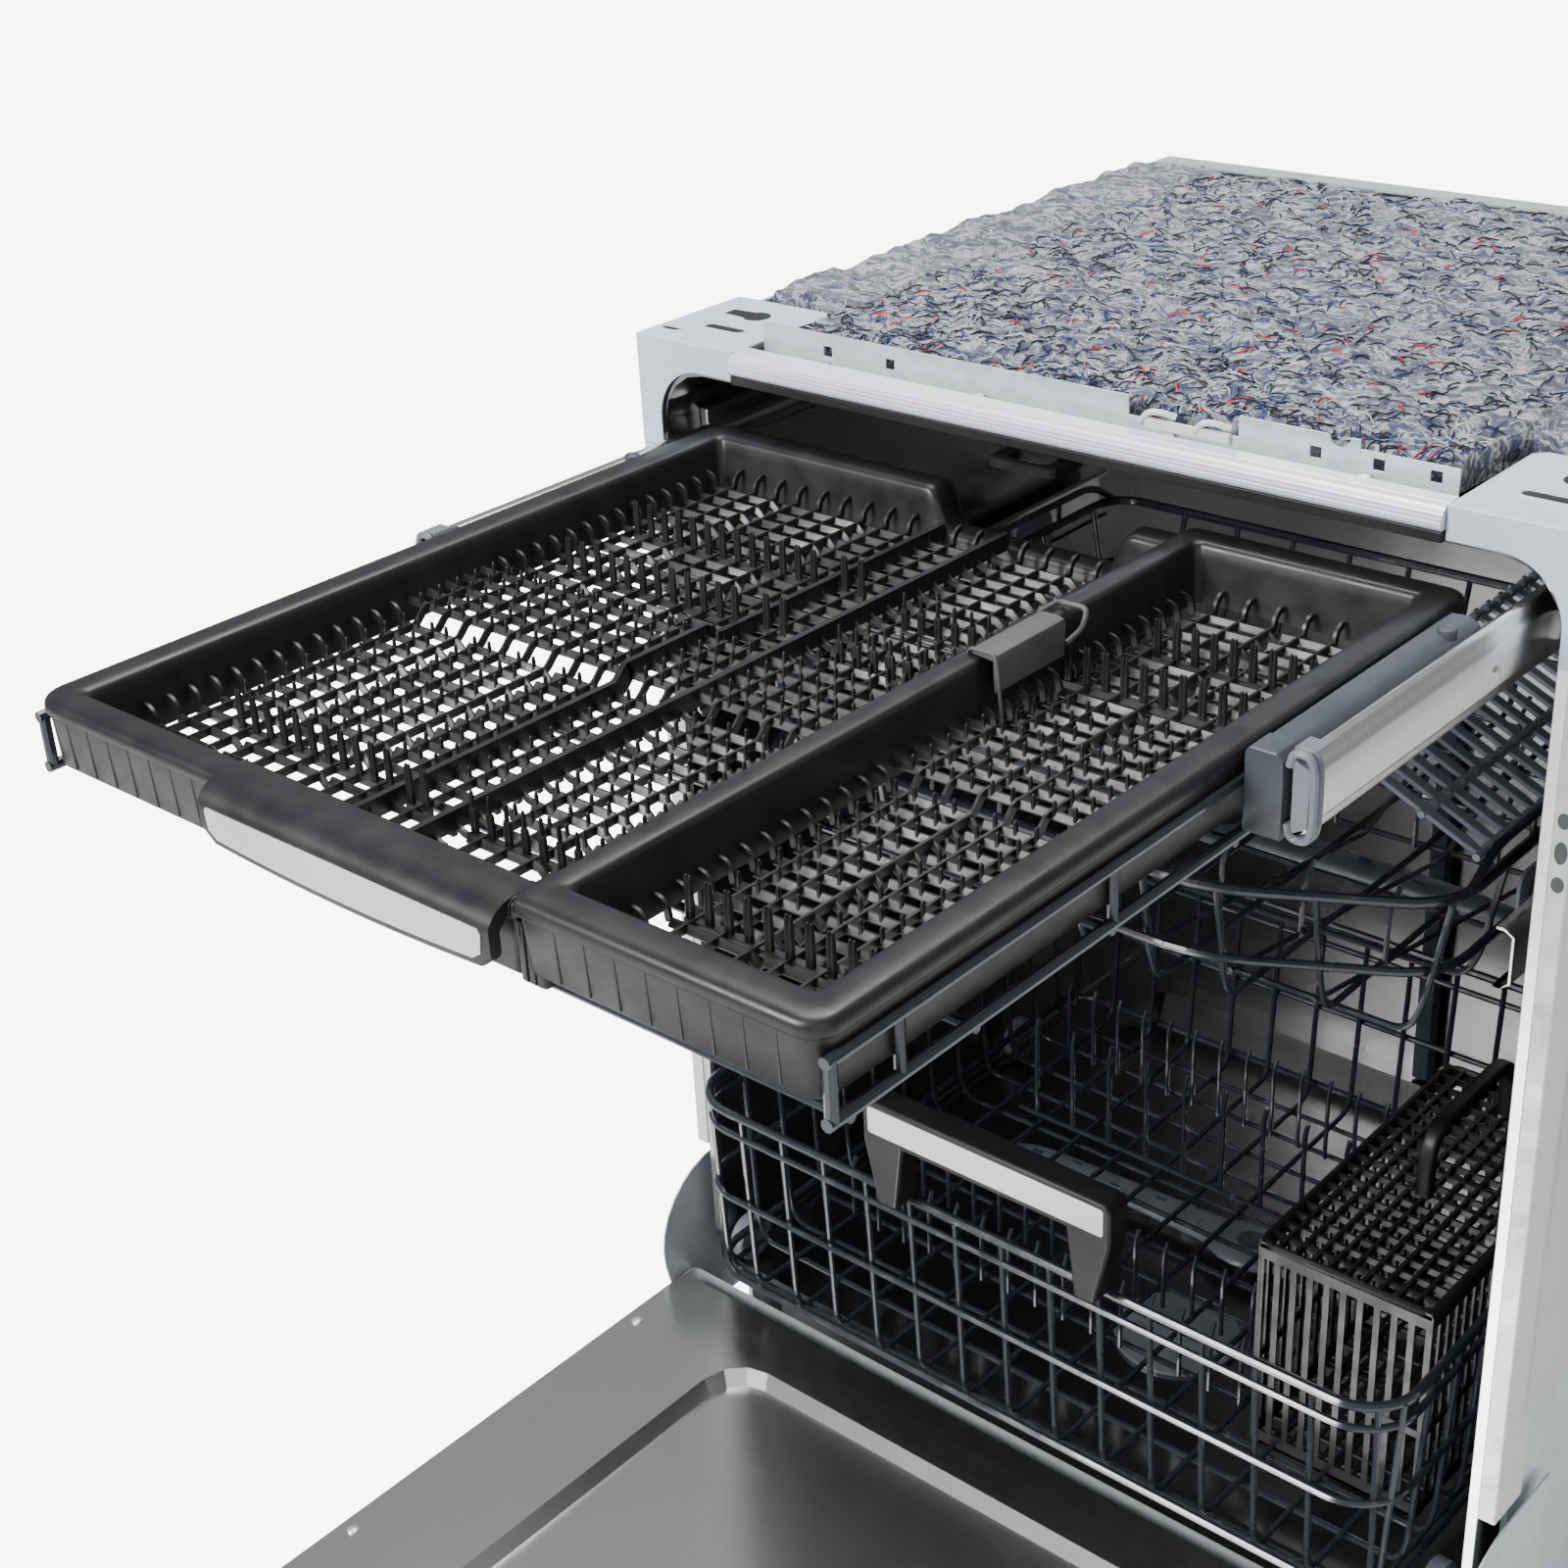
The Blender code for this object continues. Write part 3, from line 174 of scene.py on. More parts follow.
BLACK = surface("black_moulding", (0.010, 0.0105, 0.012), 0.38, grain=1500, depth=0.000035, mottle=0.25, smudge=0.09)
DEEP = surface("black_gloss_moulding", (0.012, 0.012, 0.014), 0.28, grain=700, depth=0.00001, mottle=0.3)
# Dark blue-grey: the brackets' own plastic, and painted shade in the spray arms' nozzle slots.
DARK = surface("blue_grey_moulding_and_slot_shade", (0.052, 0.060, 0.074), 0.36, grain=900, depth=0.00002, mottle=0.15)
GREY = surface("mid_grey_moulding", (0.16, 0.175, 0.205), 0.34, grain=900, depth=0.00002, mottle=0.10)
SLATE = surface("slate_moulding", (0.24, 0.27, 0.33), 0.34, grain=900, depth=0.00002, mottle=0.12)
WIRE = surface("coated_wire", (0.022, 0.026, 0.034), 0.20, grain=260, depth=0.00003, mottle=0.2, coat=0.4)
STEEL = surface("brushed_stainless", (0.62, 0.62, 0.61), 0.26, 1.0, grain=1.0, depth=0.000012,
                stretch=(25, 1800, 1800), mottle=0.08, smudge=0.07)
RAIL_STEEL = surface("rail_steel", (0.74, 0.73, 0.72), 0.22, 1.0, grain=1.0, depth=0.000012,
                     stretch=(1500, 20, 1500), mottle=0.06, smudge=0.08)
SATIN = surface("satin_plate", (0.86, 0.85, 0.83), 0.42, 1.0, grain=1.0, depth=0.00002,
                stretch=(90, 1200, 1600), mottle=0.07, smudge=0.08)
ZINC = surface("galvanised_sheet", (0.70, 0.76, 0.77), 0.42, 0.55, grain=160, depth=0.00003, mottle=0.10, smudge=0.12,
               mottle_scale=60)
PAINT = surface("powder_paint", (0.60, 0.69, 0.79), 0.42, grain=700, depth=0.00003, mottle=0.04, smudge=0.05)
TRIM = surface("silver_trim", (0.80, 0.84, 0.92), 0.33, 0.25, grain=1.0, depth=0.00008,
               stretch=(3, 900, 900), mottle=0.05, smudge=0.05)
WHITE = surface("white_moulding", (0.72, 0.73, 0.72), 0.45, grain=500, depth=0.00003, mottle=0.06)
FOAM = surface("pale_foam", (0.74, 0.75, 0.75), 0.9, grain=420, depth=0.0003, mottle=0.08)
# Near-black: the top seal's own rubber, and painted shade in the handle's seam gaps, the lids' holes and the brackets'
# windows.
RUBBER_AND_SHADE = surface("black_rubber_and_painted_shade", (0.012, 0.012, 0.013), 0.5, grain=400, depth=0.00004, mottle=0.3)
FELT = felt_material("recycled_felt", [
    (0.25, (0.006, 0.009, 0.018)), (0.40, (0.018, 0.030, 0.066)), (0.47, (0.055, 0.075, 0.13)),
    (0.52, (0.20, 0.21, 0.24)), (0.57, (0.55, 0.53, 0.51)), (0.62, (0.16, 0.21, 0.33)),
    (0.67, (0.42, 0.06, 0.06)), (0.72, (0.50, 0.50, 0.52))])

SLOT_LOOKS = {
    "stainless_steel": STEEL, "satin_steel": SATIN, "galvanised_steel": ZINC, "blue_grey_paint": PAINT,
    "silver_trim": TRIM, "recycled_felt": FELT, "black_plastic": BLACK, "dark_grey_plastic": DARK,
    "grey_plastic": GREY, "coated_wire": WIRE, "pale_plastic": WHITE, "white_plastic": WHITE,
}
# The tub gets its own stainless steel, half as bright as the other stainless parts: painted shade for the inside of the
# tub.
SHADED_TUB_STEEL = surface("painted_shade_tub_steel", (0.30, 0.30, 0.305), 0.24, 1.0, grain=1.0, depth=0.00001, stretch=(25, 1500, 1500),
                    mottle=0.10, smudge=0.06)
for entry in frame["record"]["subparts"]:
    carried = frame["nodes"][entry["node"]]
    carried.data.materials.clear()
    carried.data.materials.append(SHADED_TUB_STEEL if entry["node"] == "tub" else SLOT_LOOKS[entry["material_slot"]])


# ---------------------------------------------------------------- mesh helpers


def loft(bm, loops, closed=False):
    """Bridges loops of points that have equal counts, and caps the ends unless they join."""
    rows = [[bm.verts.new(point) for point in loop] for loop in loops]
    pairs = list(zip(rows, rows[1:]))
    if closed:
        pairs.append((rows[-1], rows[0]))
    count = len(rows[0])
    for a, b in pairs:
        for i in range(count):
            j = (i + 1) % count
            bm.faces.new((a[i], a[j], b[j], b[i]))
    if not closed:
        bm.faces.new(rows[0][::-1])
        bm.faces.new(rows[-1])


def tangents(points, closed=False):
    result = []
    count = len(points)
    for i, point in enumerate(points):
        before = points[i - 1] if i or closed else point
        after = points[(i + 1) % count] if i < count - 1 or closed else point
        result.append((after - before).normalized())
    return result


def sweep(bm, points, radius, sides=8, closed=False):
    """A round bar along points."""
    points = [Vector(point) for point in points]
    along = tangents(points, closed)
    side = along[0].orthogonal().normalized()
    loops = []
    for point, tangent in zip(points, along):
        side = (side - tangent * side.dot(tangent)).normalized()
        up = tangent.cross(side)
        loop = []
        for i in range(sides):
            angle = 2 * math.pi * i / sides
            loop.append(point + side * radius * math.cos(angle) + up * radius * math.sin(angle))
        loops.append(loop)
    loft(bm, loops, closed)


def rib(bm, points, side, section):
    """A bar along points with a flat section of (sideways, upwards) pairs. side is level."""
    points = [Vector(point) for point in points]
    side = Vector(side)
    loops = []
    for point, tangent in zip(points, tangents(points)):
        up = tangent.cross(side) if tangent.cross(side).z > 0 else side.cross(tangent)
        loops.append([point + side * s + up * t for s, t in section])
    loft(bm, loops)


def block(bm, low, high):
    x0, y0, z0 = low
    x1, y1, z1 = high
    loft(bm, [[(x0, y0, z), (x1, y0, z), (x1, y1, z), (x0, y1, z)] for z in (z0, z1)])


def slab(bm, outline, axis, low, high):
    """A flat outline given thickness along an axis."""
    def at(u, v, w):
        return {"X": (w, u, v), "Y": (u, w, v), "Z": (u, v, w)}[axis]
    loft(bm, [[at(u, v, w) for u, v in outline] for w in (low, high)])


def lathe(bm, profile, centre, axis="Z", steps=24):
    """Turns (radius, along) pairs about an axis through centre. Both ends of the profile are capped."""
    loops = []
    for radius, along in profile:
        loop = []
        for i in range(steps):
            u = radius * math.cos(2 * math.pi * i / steps)
            v = radius * math.sin(2 * math.pi * i / steps)
            offset = {"X": (along, u, v), "Y": (v, along, u), "Z": (u, v, along)}[axis]
            loop.append(Vector(centre) + Vector(offset))
        loops.append(loop)
    loft(bm, loops)


def arc(centre, radius, start, end, steps=6):
    points = []
    for step in range(steps + 1):
        angle = math.radians(start + (end - start) * step / steps)
        points.append((centre[0] + radius * math.cos(angle), centre[1] + radius * math.sin(angle)))
    return points


def round_box(x0, x1, y0, y1, radius, steps=4):
    return (arc((x1 - radius, y0 + radius), radius, -90, 0, steps)
            + arc((x1 - radius, y1 - radius), radius, 0, 90, steps)
            + arc((x0 + radius, y1 - radius), radius, 90, 180, steps)
            + arc((x0 + radius, y0 + radius), radius, 180, 270, steps))


def fillet(points, radius, steps=5, closed=False):
    """Rounds the corners of a route."""
    points = [Vector(point) for point in points]
    count = len(points)
    result = []
    for i, point in enumerate(points):
        if not closed and i in (0, count - 1):
            result.append(point)
            continue
        before, after = points[i - 1], points[(i + 1) % count]
        reach = min(radius, (before - point).length / 2.01, (after - point).length / 2.01)
        start = point + (before - point).normalized() * reach
        end = point + (after - point).normalized() * reach
        for step in range(steps + 1):
            t = step / steps
            result.append(start * (1 - t) ** 2 + point * 2 * t * (1 - t) + end * t ** 2)
    return result


def finish_piece(name, bm, material, body, slot, *replaced, angle=35, bevel=0.0, segments=2):
    bmesh.ops.recalc_face_normals(bm, faces=bm.faces)
    mesh = bpy.data.meshes.new(name)
    bm.to_mesh(mesh)
    bm.free()
    mesh.materials.append(material)
    obj = bpy.data.objects.new(name, mesh)
    bpy.context.scene.collection.objects.link(obj)
    obj.location.y = FRONT
    mesh.shade_smooth()
    mesh.set_sharp_from_angle(angle=math.radians(angle))
    if bevel:
        rounding = obj.modifiers.new("rounding", "BEVEL")
        rounding.width = bevel
        rounding.segments = segments
        rounding.limit_method = "ANGLE"
        rounding.angle_limit = math.radians(40)
        rounding.harden_normals = True
    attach(obj, body)
    if replaced:
        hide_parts(*replaced)
    return obj


# ---------------------------------------------------------------- cutlery drawer

RIM = 0.0175
TRAY_FRONT = TRAY_LOW.y
SPLIT = TRAY_HIGH.x
RIGHT_RIM_Z = RIM_Z + 0.0047
FLOOR_TOP = RIM_Z - 0.0245
STEP_UP = 0.0070
STEP_START, STEP_END, STEP_RUN = -0.2600, -0.2060, 0.0100
HOOK = 0.0080
ROW_PITCH = 0.0126
COLUMN_PITCH = 0.0158
PEG_PITCH = COLUMN_PITCH * 2 / 3
TINE_PITCH = 0.0105


def smooth(value):
    value = min(1.0, max(0.0, value))
    return value * value * (3 - 2 * value)


def rise(y):
    """0 on the low parts of a tray's floor, 1 on the raised strip across its middle."""
    up = smooth((y - STEP_START + STEP_RUN) / STEP_RUN)
    down = smooth((y - STEP_END) / STEP_RUN)
    return up - down


def notch_drop(x):
    """How far the main tray's rear wall is lowered."""
    left = smooth((x + 0.0680) / 0.0160)
    right = smooth((0.0600 - x) / 0.0160)
    return 0.0235 * min(left, right)


def rim_section(lip):
    """(share of the rim's width, extra inset, height from the rim's top), round the wall's section."""
    return [
        (0.0, 0.0050, -0.0335), (0.0, 0.0042, -0.0345), (0.0, 0.0034, -0.0335), (0.0, 0.0020, -lip - 0.0010),
        (0.0, 0.0007, -lip - 0.0004), (0.0, 0.0000, -lip + 0.0006), (0.0, 0.0000, -0.0042),
        (0.02, 0.0, -0.0027), (0.07, 0.0, -0.0015), (0.14, 0.0, -0.0007), (0.24, 0.0, -0.0002), (0.45, 0.0, 0.0),
        (0.75, 0.0, -0.0003), (0.90, 0.0, -0.0009), (0.98, 0.0002, -0.0020), (1.0, 0.0006, -0.0038),
        (1.0, 0.0014, -0.0090), (1.0, 0.0044, -0.0290), (1.0, 0.0046, -0.0305), (1.0, 0.0030, -0.0305),
        (1.0, -0.0004, -0.0090), (0.85, -0.0006, -0.0026), (0.20, 0.0008, -0.0026), (0.0, 0.0030, -0.0060),
        (0.0, 0.0036, -0.0100),
    ]


def tray_wall(bm, x0, x1, y0, y1, rim_z, rims, radii, lip, stations=(), drop=None):
    """A tray's walls: the section above swept round a rounded rectangle. rims are the rim's widths at
    the right, back, left and front, radii those of the corners from the front right, anticlockwise."""
    right, back, left, front = rims
    loops = []
    for share, extra, height in rim_section(lip):
        low_x, high_x = x0 + left * share + extra, x1 - right * share - extra
        low_y, high_y = y0 + front * share + extra, y1 - back * share - extra
        inset = RIM * share + extra
        corner = [max(0.0045, radius - inset) for radius in radii]
        points = arc((high_x - corner[0], low_y + corner[0]), corner[0], -90, 0)
        points += arc((high_x - corner[1], high_y - corner[1]), corner[1], 0, 90)
        points += [(x, high_y) for x in stations]
        points += arc((low_x + corner[2], high_y - corner[2]), corner[2], 90, 180)
        points += arc((low_x + corner[3], low_y + corner[3]), corner[3], 180, 270)
        loop = []
        for x, y in points:
            z = rim_z + height
            if drop and y > high_y - 0.001:
                z = max(z - drop(x), min(z, rim_z - 0.0305 + height * 0.1))
            loop.append((x, y, z))
        loops.append(loop)
    loft(bm, loops, closed=True)


def skirt_ribs(bm, x0, x1, y, rim_z, lip):
    """The fine upright lines on a tray's front skirt."""
    count = round((x1 - x0) / 0.0160)
    for i in range(1, count):
        x = x0 + (x1 - x0) * i / count
        top, low = rim_z - lip - 0.0012, rim_z - 0.0330
        loft(bm, [[(x - 0.0005, y + 0.0019, top), (x + 0.0005, y + 0.0019, top), (x + 0.0005, y + 0.0030, top),
                   (x - 0.0005, y + 0.0030, top)],
                  [(x - 0.0005, y + 0.0031, low), (x + 0.0005, y + 0.0031, low), (x + 0.0005, y + 0.0044, low),
                   (x - 0.0005, y + 0.0044, low)]])


ROW_SECTION = [(-0.0006, 0.0), (0.0006, 0.0), (0.0008, -0.0036), (-0.0020, -0.0036), (-0.0022, -0.0028)]
COLUMN_SECTION = [(-0.0007, 0.0004), (0.0007, 0.0004), (0.0009, -0.0036), (-0.0009, -0.0036)]
HOOK_SECTION = [(-0.0009, 0.0004), (0.0009, 0.0004), (0.0011, -0.0026), (-0.0011, -0.0026)]


def floor_stations(y0, y1):
    """Places along Y that follow the floor's steps closely."""
    places = [y0, y1]
    for start in (STEP_START - STEP_RUN, STEP_END):
        places += [start + STEP_RUN * i / 7 for i in range(8)]
    return sorted(y for y in places if y0 <= y <= y1)


def level(y):
    return FLOOR_TOP + STEP_UP * rise(y)


def column(bm, x, y0, y1, width=1.0, lift=0.0, deep=1.0, hooks=True):
    """A bar along Y that follows the floor and hooks up to the front and rear walls."""
    path = [(x, y, level(y) + lift) for y in floor_stations(y0 + HOOK, y1 - HOOK)]
    section = [(s * width, t * deep) for s, t in COLUMN_SECTION]
    rib(bm, path, (1, 0, 0), section)
    if hooks:
        for wall, way in ((y0, 1), (y1, -1)):
            route = [(x, wall + way * a, level(wall) + b) for a, b in arc((0, 0), HOOK, 90, 0, 5)]
            route.append((x, wall + way * (HOOK + 0.0015), level(wall) - 0.001))
            rib(bm, route, (1, 0, 0), HOOK_SECTION)


def row_path(x0, x1, y, dips, hook_left, hook_right):
    """A bar's route along X, with small V dips where the floor is low."""
    z = level(y)
    low = rise(y) < 0.1
    points = [(x0, y, z)]
    for dip in dips:
        if low and x0 + 0.01 < dip < x1 - 0.01:
            points += [(dip - 0.0045, y, z), (dip, y, z - 0.0040), (dip + 0.0030, y, z)]
    points.append((x1, y, z))
    return points


def hook_at(bm, wall, way, y, concave=False, lift=HOOK):
    """The curved end of a bar along X at a wall or a beam."""
    z = level(y)
    if concave:
        route = [(wall + way * (lift + a), y, z + lift + b) for a, b in arc((0, 0), lift, 180, 270, 6)]
    else:
        route = [(wall + way * a, y, z + b) for a, b in arc((0, 0), lift, 90, 0, 6)]
        route.append((wall + way * (lift + 0.0005), y, z - 0.0015))
    rib(bm, route, (0, 1, 0), HOOK_SECTION)


def peg(bm, x, y, z):
    lathe(bm, [(0.00125, -0.0025), (0.00110, 0.0020), (0.00095, 0.0042), (0.00055, 0.0049)], (x, y, z), steps=7)


def tine(bm, x, y, z, stepped=False):
    """A tall tine of two lobes with a groove between, narrower at its upper half if stepped."""
    for side in (-0.00095, 0.00095):
        if stepped:
            profile = [(0.00125, -0.003), (0.00125, 0.0100), (0.00080, 0.0112)]
        else:
            profile = [(0.00135, -0.003), (0.00125, 0.0100), (0.00100, 0.0165), (0.00055, 0.0182)]
        lathe(bm, profile, (x + side, y, z), steps=8)
    if stepped:
        lathe(bm, [(0.00110, 0.0095), (0.00095, 0.0180), (0.00050, 0.0192)], (x, y, z), steps=8)


def tine_row(bm, x0, x1, y, stepped=False):
    count = round((x1 - x0) / TINE_PITCH)
    z = level(y)
    for i in range(count + 1):
        tine(bm, x0 + (x1 - x0) * i / count, y, z, stepped)
    block(bm, (x0 - 0.002, y - 0.0018, z - 0.0040), (x1 + 0.002, y + 0.0018, z - 0.0005))


def floor_patch(bars, pegs, x0, x1, y0, y1, dips, left, right, peg_zone):
    """One part of a tray's floor: rows and columns of bars, hooked ends and pegs. left and right say how
    the rows end there: hook, beam or plain."""
    columns = round((x1 - x0) / COLUMN_PITCH)
    rows = round((y1 - y0) / ROW_PITCH)
    for i in range(1, columns):
        column(bars, x0 + (x1 - x0) * i / columns, y0, y1)
    for j in range(1, rows):
        y = y0 + (y1 - y0) * j / rows
        flat = rise(y) > 0.5
        start = x0 if flat or left == "plain" else x0 + HOOK
        end = x1 if flat or right == "plain" else x1 - HOOK
        if abs(rise(y) - 0.5) < 0.49:
            continue
        rib(bars, row_path(start, end, y, dips, left, right), (0, 1, 0), ROW_SECTION)
        for wall, way, kind in ((x0, 1, left), (x1, -1, right)):
            if kind == "hook" and not flat:
                hook_at(bars, wall, way, y)
            elif kind == "beam" and not flat:
                hook_at(bars, wall, way, y, concave=True)
        if peg_zone[0] < y < peg_zone[1]:
            for k in range(1, int((x1 - x0) / PEG_PITCH)):
                x = x0 + PEG_PITCH * k
                if x < x1 - 0.006 and not (not flat and any(abs(x - dip) < 0.003 for dip in dips)):
                    peg(pegs, x, y - 0.0006, level(y))


BEAM_LEFT, BEAM_RIGHT = -0.0580, -0.0155
MAIN_INNER = (-RIM_HALF + RIM + 0.0035, SPLIT - 0.0085)
TRAY_INNER_Y = (TRAY_FRONT + RIM + 0.0035, -RIM - 0.0035)


def main_tray():
    bm = bmesh.new()
    stations = [0.066 - 0.0030 * i for i in range(47)]
    tray_wall(bm, -RIM_HALF, SPLIT, TRAY_FRONT, 0.0, RIM_Z, (0.0040, RIM, RIM, RIM),
              (0.006, 0.008, 0.016, 0.016), 0.0075, stations, notch_drop)
    skirt_ribs(bm, -RIM_HALF + 0.008, SPLIT - 0.004, TRAY_FRONT, RIM_Z, 0.0075)
    finish_piece("main_tray_wall", bm, BLACK, "drawer", "black_plastic", "main_tray", angle=50)
    bars, pegs = bmesh.new(), bmesh.new()
    x0, x1 = MAIN_INNER
    y0, y1 = TRAY_INNER_Y
    floor_patch(bars, pegs, x0, BEAM_LEFT, y0, y1, (-0.1620, -0.1005), "hook", "plain", (-0.375, -0.185))
    floor_patch(bars, pegs, BEAM_LEFT, BEAM_RIGHT, y0, y1, (), "plain", "plain", (-0.375, -0.185))
    floor_patch(bars, pegs, BEAM_RIGHT, x1, y0, y1, (0.0405,), "beam", "hook", (-0.385, -0.145))
    for x, lift, follow in ((BEAM_LEFT, 0.0055, 1), (BEAM_RIGHT, 0.0095, 0)):
        path = [(x, y, FLOOR_TOP + lift + STEP_UP * rise(y) * follow) for y in floor_stations(y0 - 0.002, y1 + 0.002)]
        rib(bars, path, (1, 0, 0), [(-0.0017, 0.0), (0.0017, 0.0), (0.0017, -0.0095), (-0.0017, -0.0095)])
    rows = round((y1 - y0) / ROW_PITCH)
    for j in range(1, rows):
        y = y0 + (y1 - y0) * j / rows
        z = level(y)
        loft(bars, [[(BEAM_LEFT + 0.0010, y - 0.0010, z - 0.0036), (BEAM_LEFT + 0.0034, y, z - 0.0036),
                     (BEAM_LEFT + 0.0010, y + 0.0010, z - 0.0036)],
                    [(BEAM_LEFT + 0.0010, y - 0.0010, z + 0.0006), (BEAM_LEFT + 0.0032, y, z + 0.0006),
                     (BEAM_LEFT + 0.0010, y + 0.0010, z + 0.0006)],
                    [(BEAM_LEFT + 0.0010, y - 0.0002, z + 0.0050), (BEAM_LEFT + 0.0014, y, z + 0.0050),
                     (BEAM_LEFT + 0.0010, y + 0.0002, z + 0.0050)]])
    tine_row(pegs, -0.1740, -0.0690, -0.3965)
    tine_row(pegs, -0.0500, -0.0400, -0.4010)
    tine_row(pegs, -0.0070, 0.0560, -0.4030, stepped=True)
    tine_row(pegs, -0.1870, -0.0690, -0.1720)
    tine_row(pegs, -0.0500, -0.0390, -0.1700)
    tine_row(pegs, -0.1960, -0.0690, -0.1120)
    tine_row(pegs, -0.0500, -0.0390, -0.1100)
    tine_row(pegs, 0.0065, 0.0690, -0.1810, stepped=True)
    tine_row(pegs, 0.0075, 0.0690, -0.1330, stepped=True)
    finish_piece("main_tray_lattice", bars, BLACK, "drawer", "black_plastic", angle=30)
    finish_piece("main_tray_tines", pegs, BLACK, "drawer", "black_plastic", angle=50)


def right_tray():
    bm = bmesh.new()
    x0, x1 = RIGHT_LOW.x, RIM_HALF
    y0, y1 = RIGHT_LOW.y, RIGHT_HIGH.y
    tray_wall(bm, x0, x1, y0, y1, RIGHT_RIM_Z, (RIM, RIM, 0.0135, RIM + 0.002), (0.013, 0.012, 0.005, 0.005), 0.0080)
    skirt_ribs(bm, x0 + 0.006, x1 - 0.006, y0, RIGHT_RIM_Z, 0.0080)
    finish_piece("right_tray_wall", bm, BLACK, "right_tray", "black_plastic", "right_tray", angle=50)
    bars, pegs = bmesh.new(), bmesh.new()
    inner_x0, inner_x1 = x0 + 0.0135 + 0.0035, x1 - RIM - 0.0035
    inner_y0, inner_y1 = TRAY_INNER_Y
    floor_patch(bars, pegs, inner_x0, inner_x1, inner_y0, inner_y1, (0.1560,), "hook", "hook", (-0.375, -0.150))
    tine_row(pegs, 0.1150, 0.2080, -0.4010)
    tine_row(pegs, 0.1060, 0.2200, -0.1350)
    tine_row(pegs, 0.1240, 0.2170, -0.0880)
    finish_piece("right_tray_lattice", bars, BLACK, "right_tray", "black_plastic", angle=30)
    finish_piece("right_tray_tines", pegs, BLACK, "right_tray", "black_plastic", angle=50)


def tray_grip():
    """The clip over the wall between the trays: a flat rubbed cap, a side leaf and a finger loop."""
    x0, x1 = 0.0905, 0.1065
    y0, y1 = -0.1900, -0.1260
    top = RIGHT_RIM_Z
    bm = bmesh.new()
    outline = [(x0, top + 0.0004), (x0 + 0.0015, top + 0.0024), (x0 + 0.0045, top + 0.0032),
               (x1 - 0.0040, top + 0.0032), (x1 - 0.0008, top + 0.0020), (x1, top - 0.0005),
               (x1 - 0.0005, top - 0.0160), (x1 - 0.0022, top - 0.0160), (x1 - 0.0026, top - 0.0010),
               (x0 + 0.0010, top + 0.0002)]
    slab(bm, outline, "Y", y0, y1 - 0.012)
    loop = [(x0 + 0.0010, y1 - 0.0125, top + 0.0018), (x0 + 0.0010, y1 + 0.0030, top + 0.0022),
            (x1 + 0.0010, y1 + 0.0040, top + 0.0020), (x1 + 0.0016, y1 - 0.0010, top - 0.0060),
            (x1 + 0.0002, y1 - 0.0120, top - 0.0100)]
    sweep(bm, fillet(loop, 0.004, 5), 0.0015, 8)
    sweep(bm, fillet([(x0, y0 - 0.0006, top - 0.001), (x0 + 0.001, y0 - 0.0006, top + 0.0030),
                      (x1 - 0.001, y0 - 0.0006, top + 0.0030), (x1 + 0.0004, y0 - 0.0006, top - 0.004),
                      (x1 + 0.0026, y0 - 0.0006, top - 0.0280)], 0.003, 5), 0.0010, 8)
    finish_piece("tray_grip_cap", bm, RUBBED, "right_tray", "black_plastic", "tray_grip", bevel=0.0004)


RUBBED = surface("rubbed_grip", (0.075, 0.075, 0.078), 0.55, grain=1600, depth=0.00012, mottle=0.45, smudge=0.15)


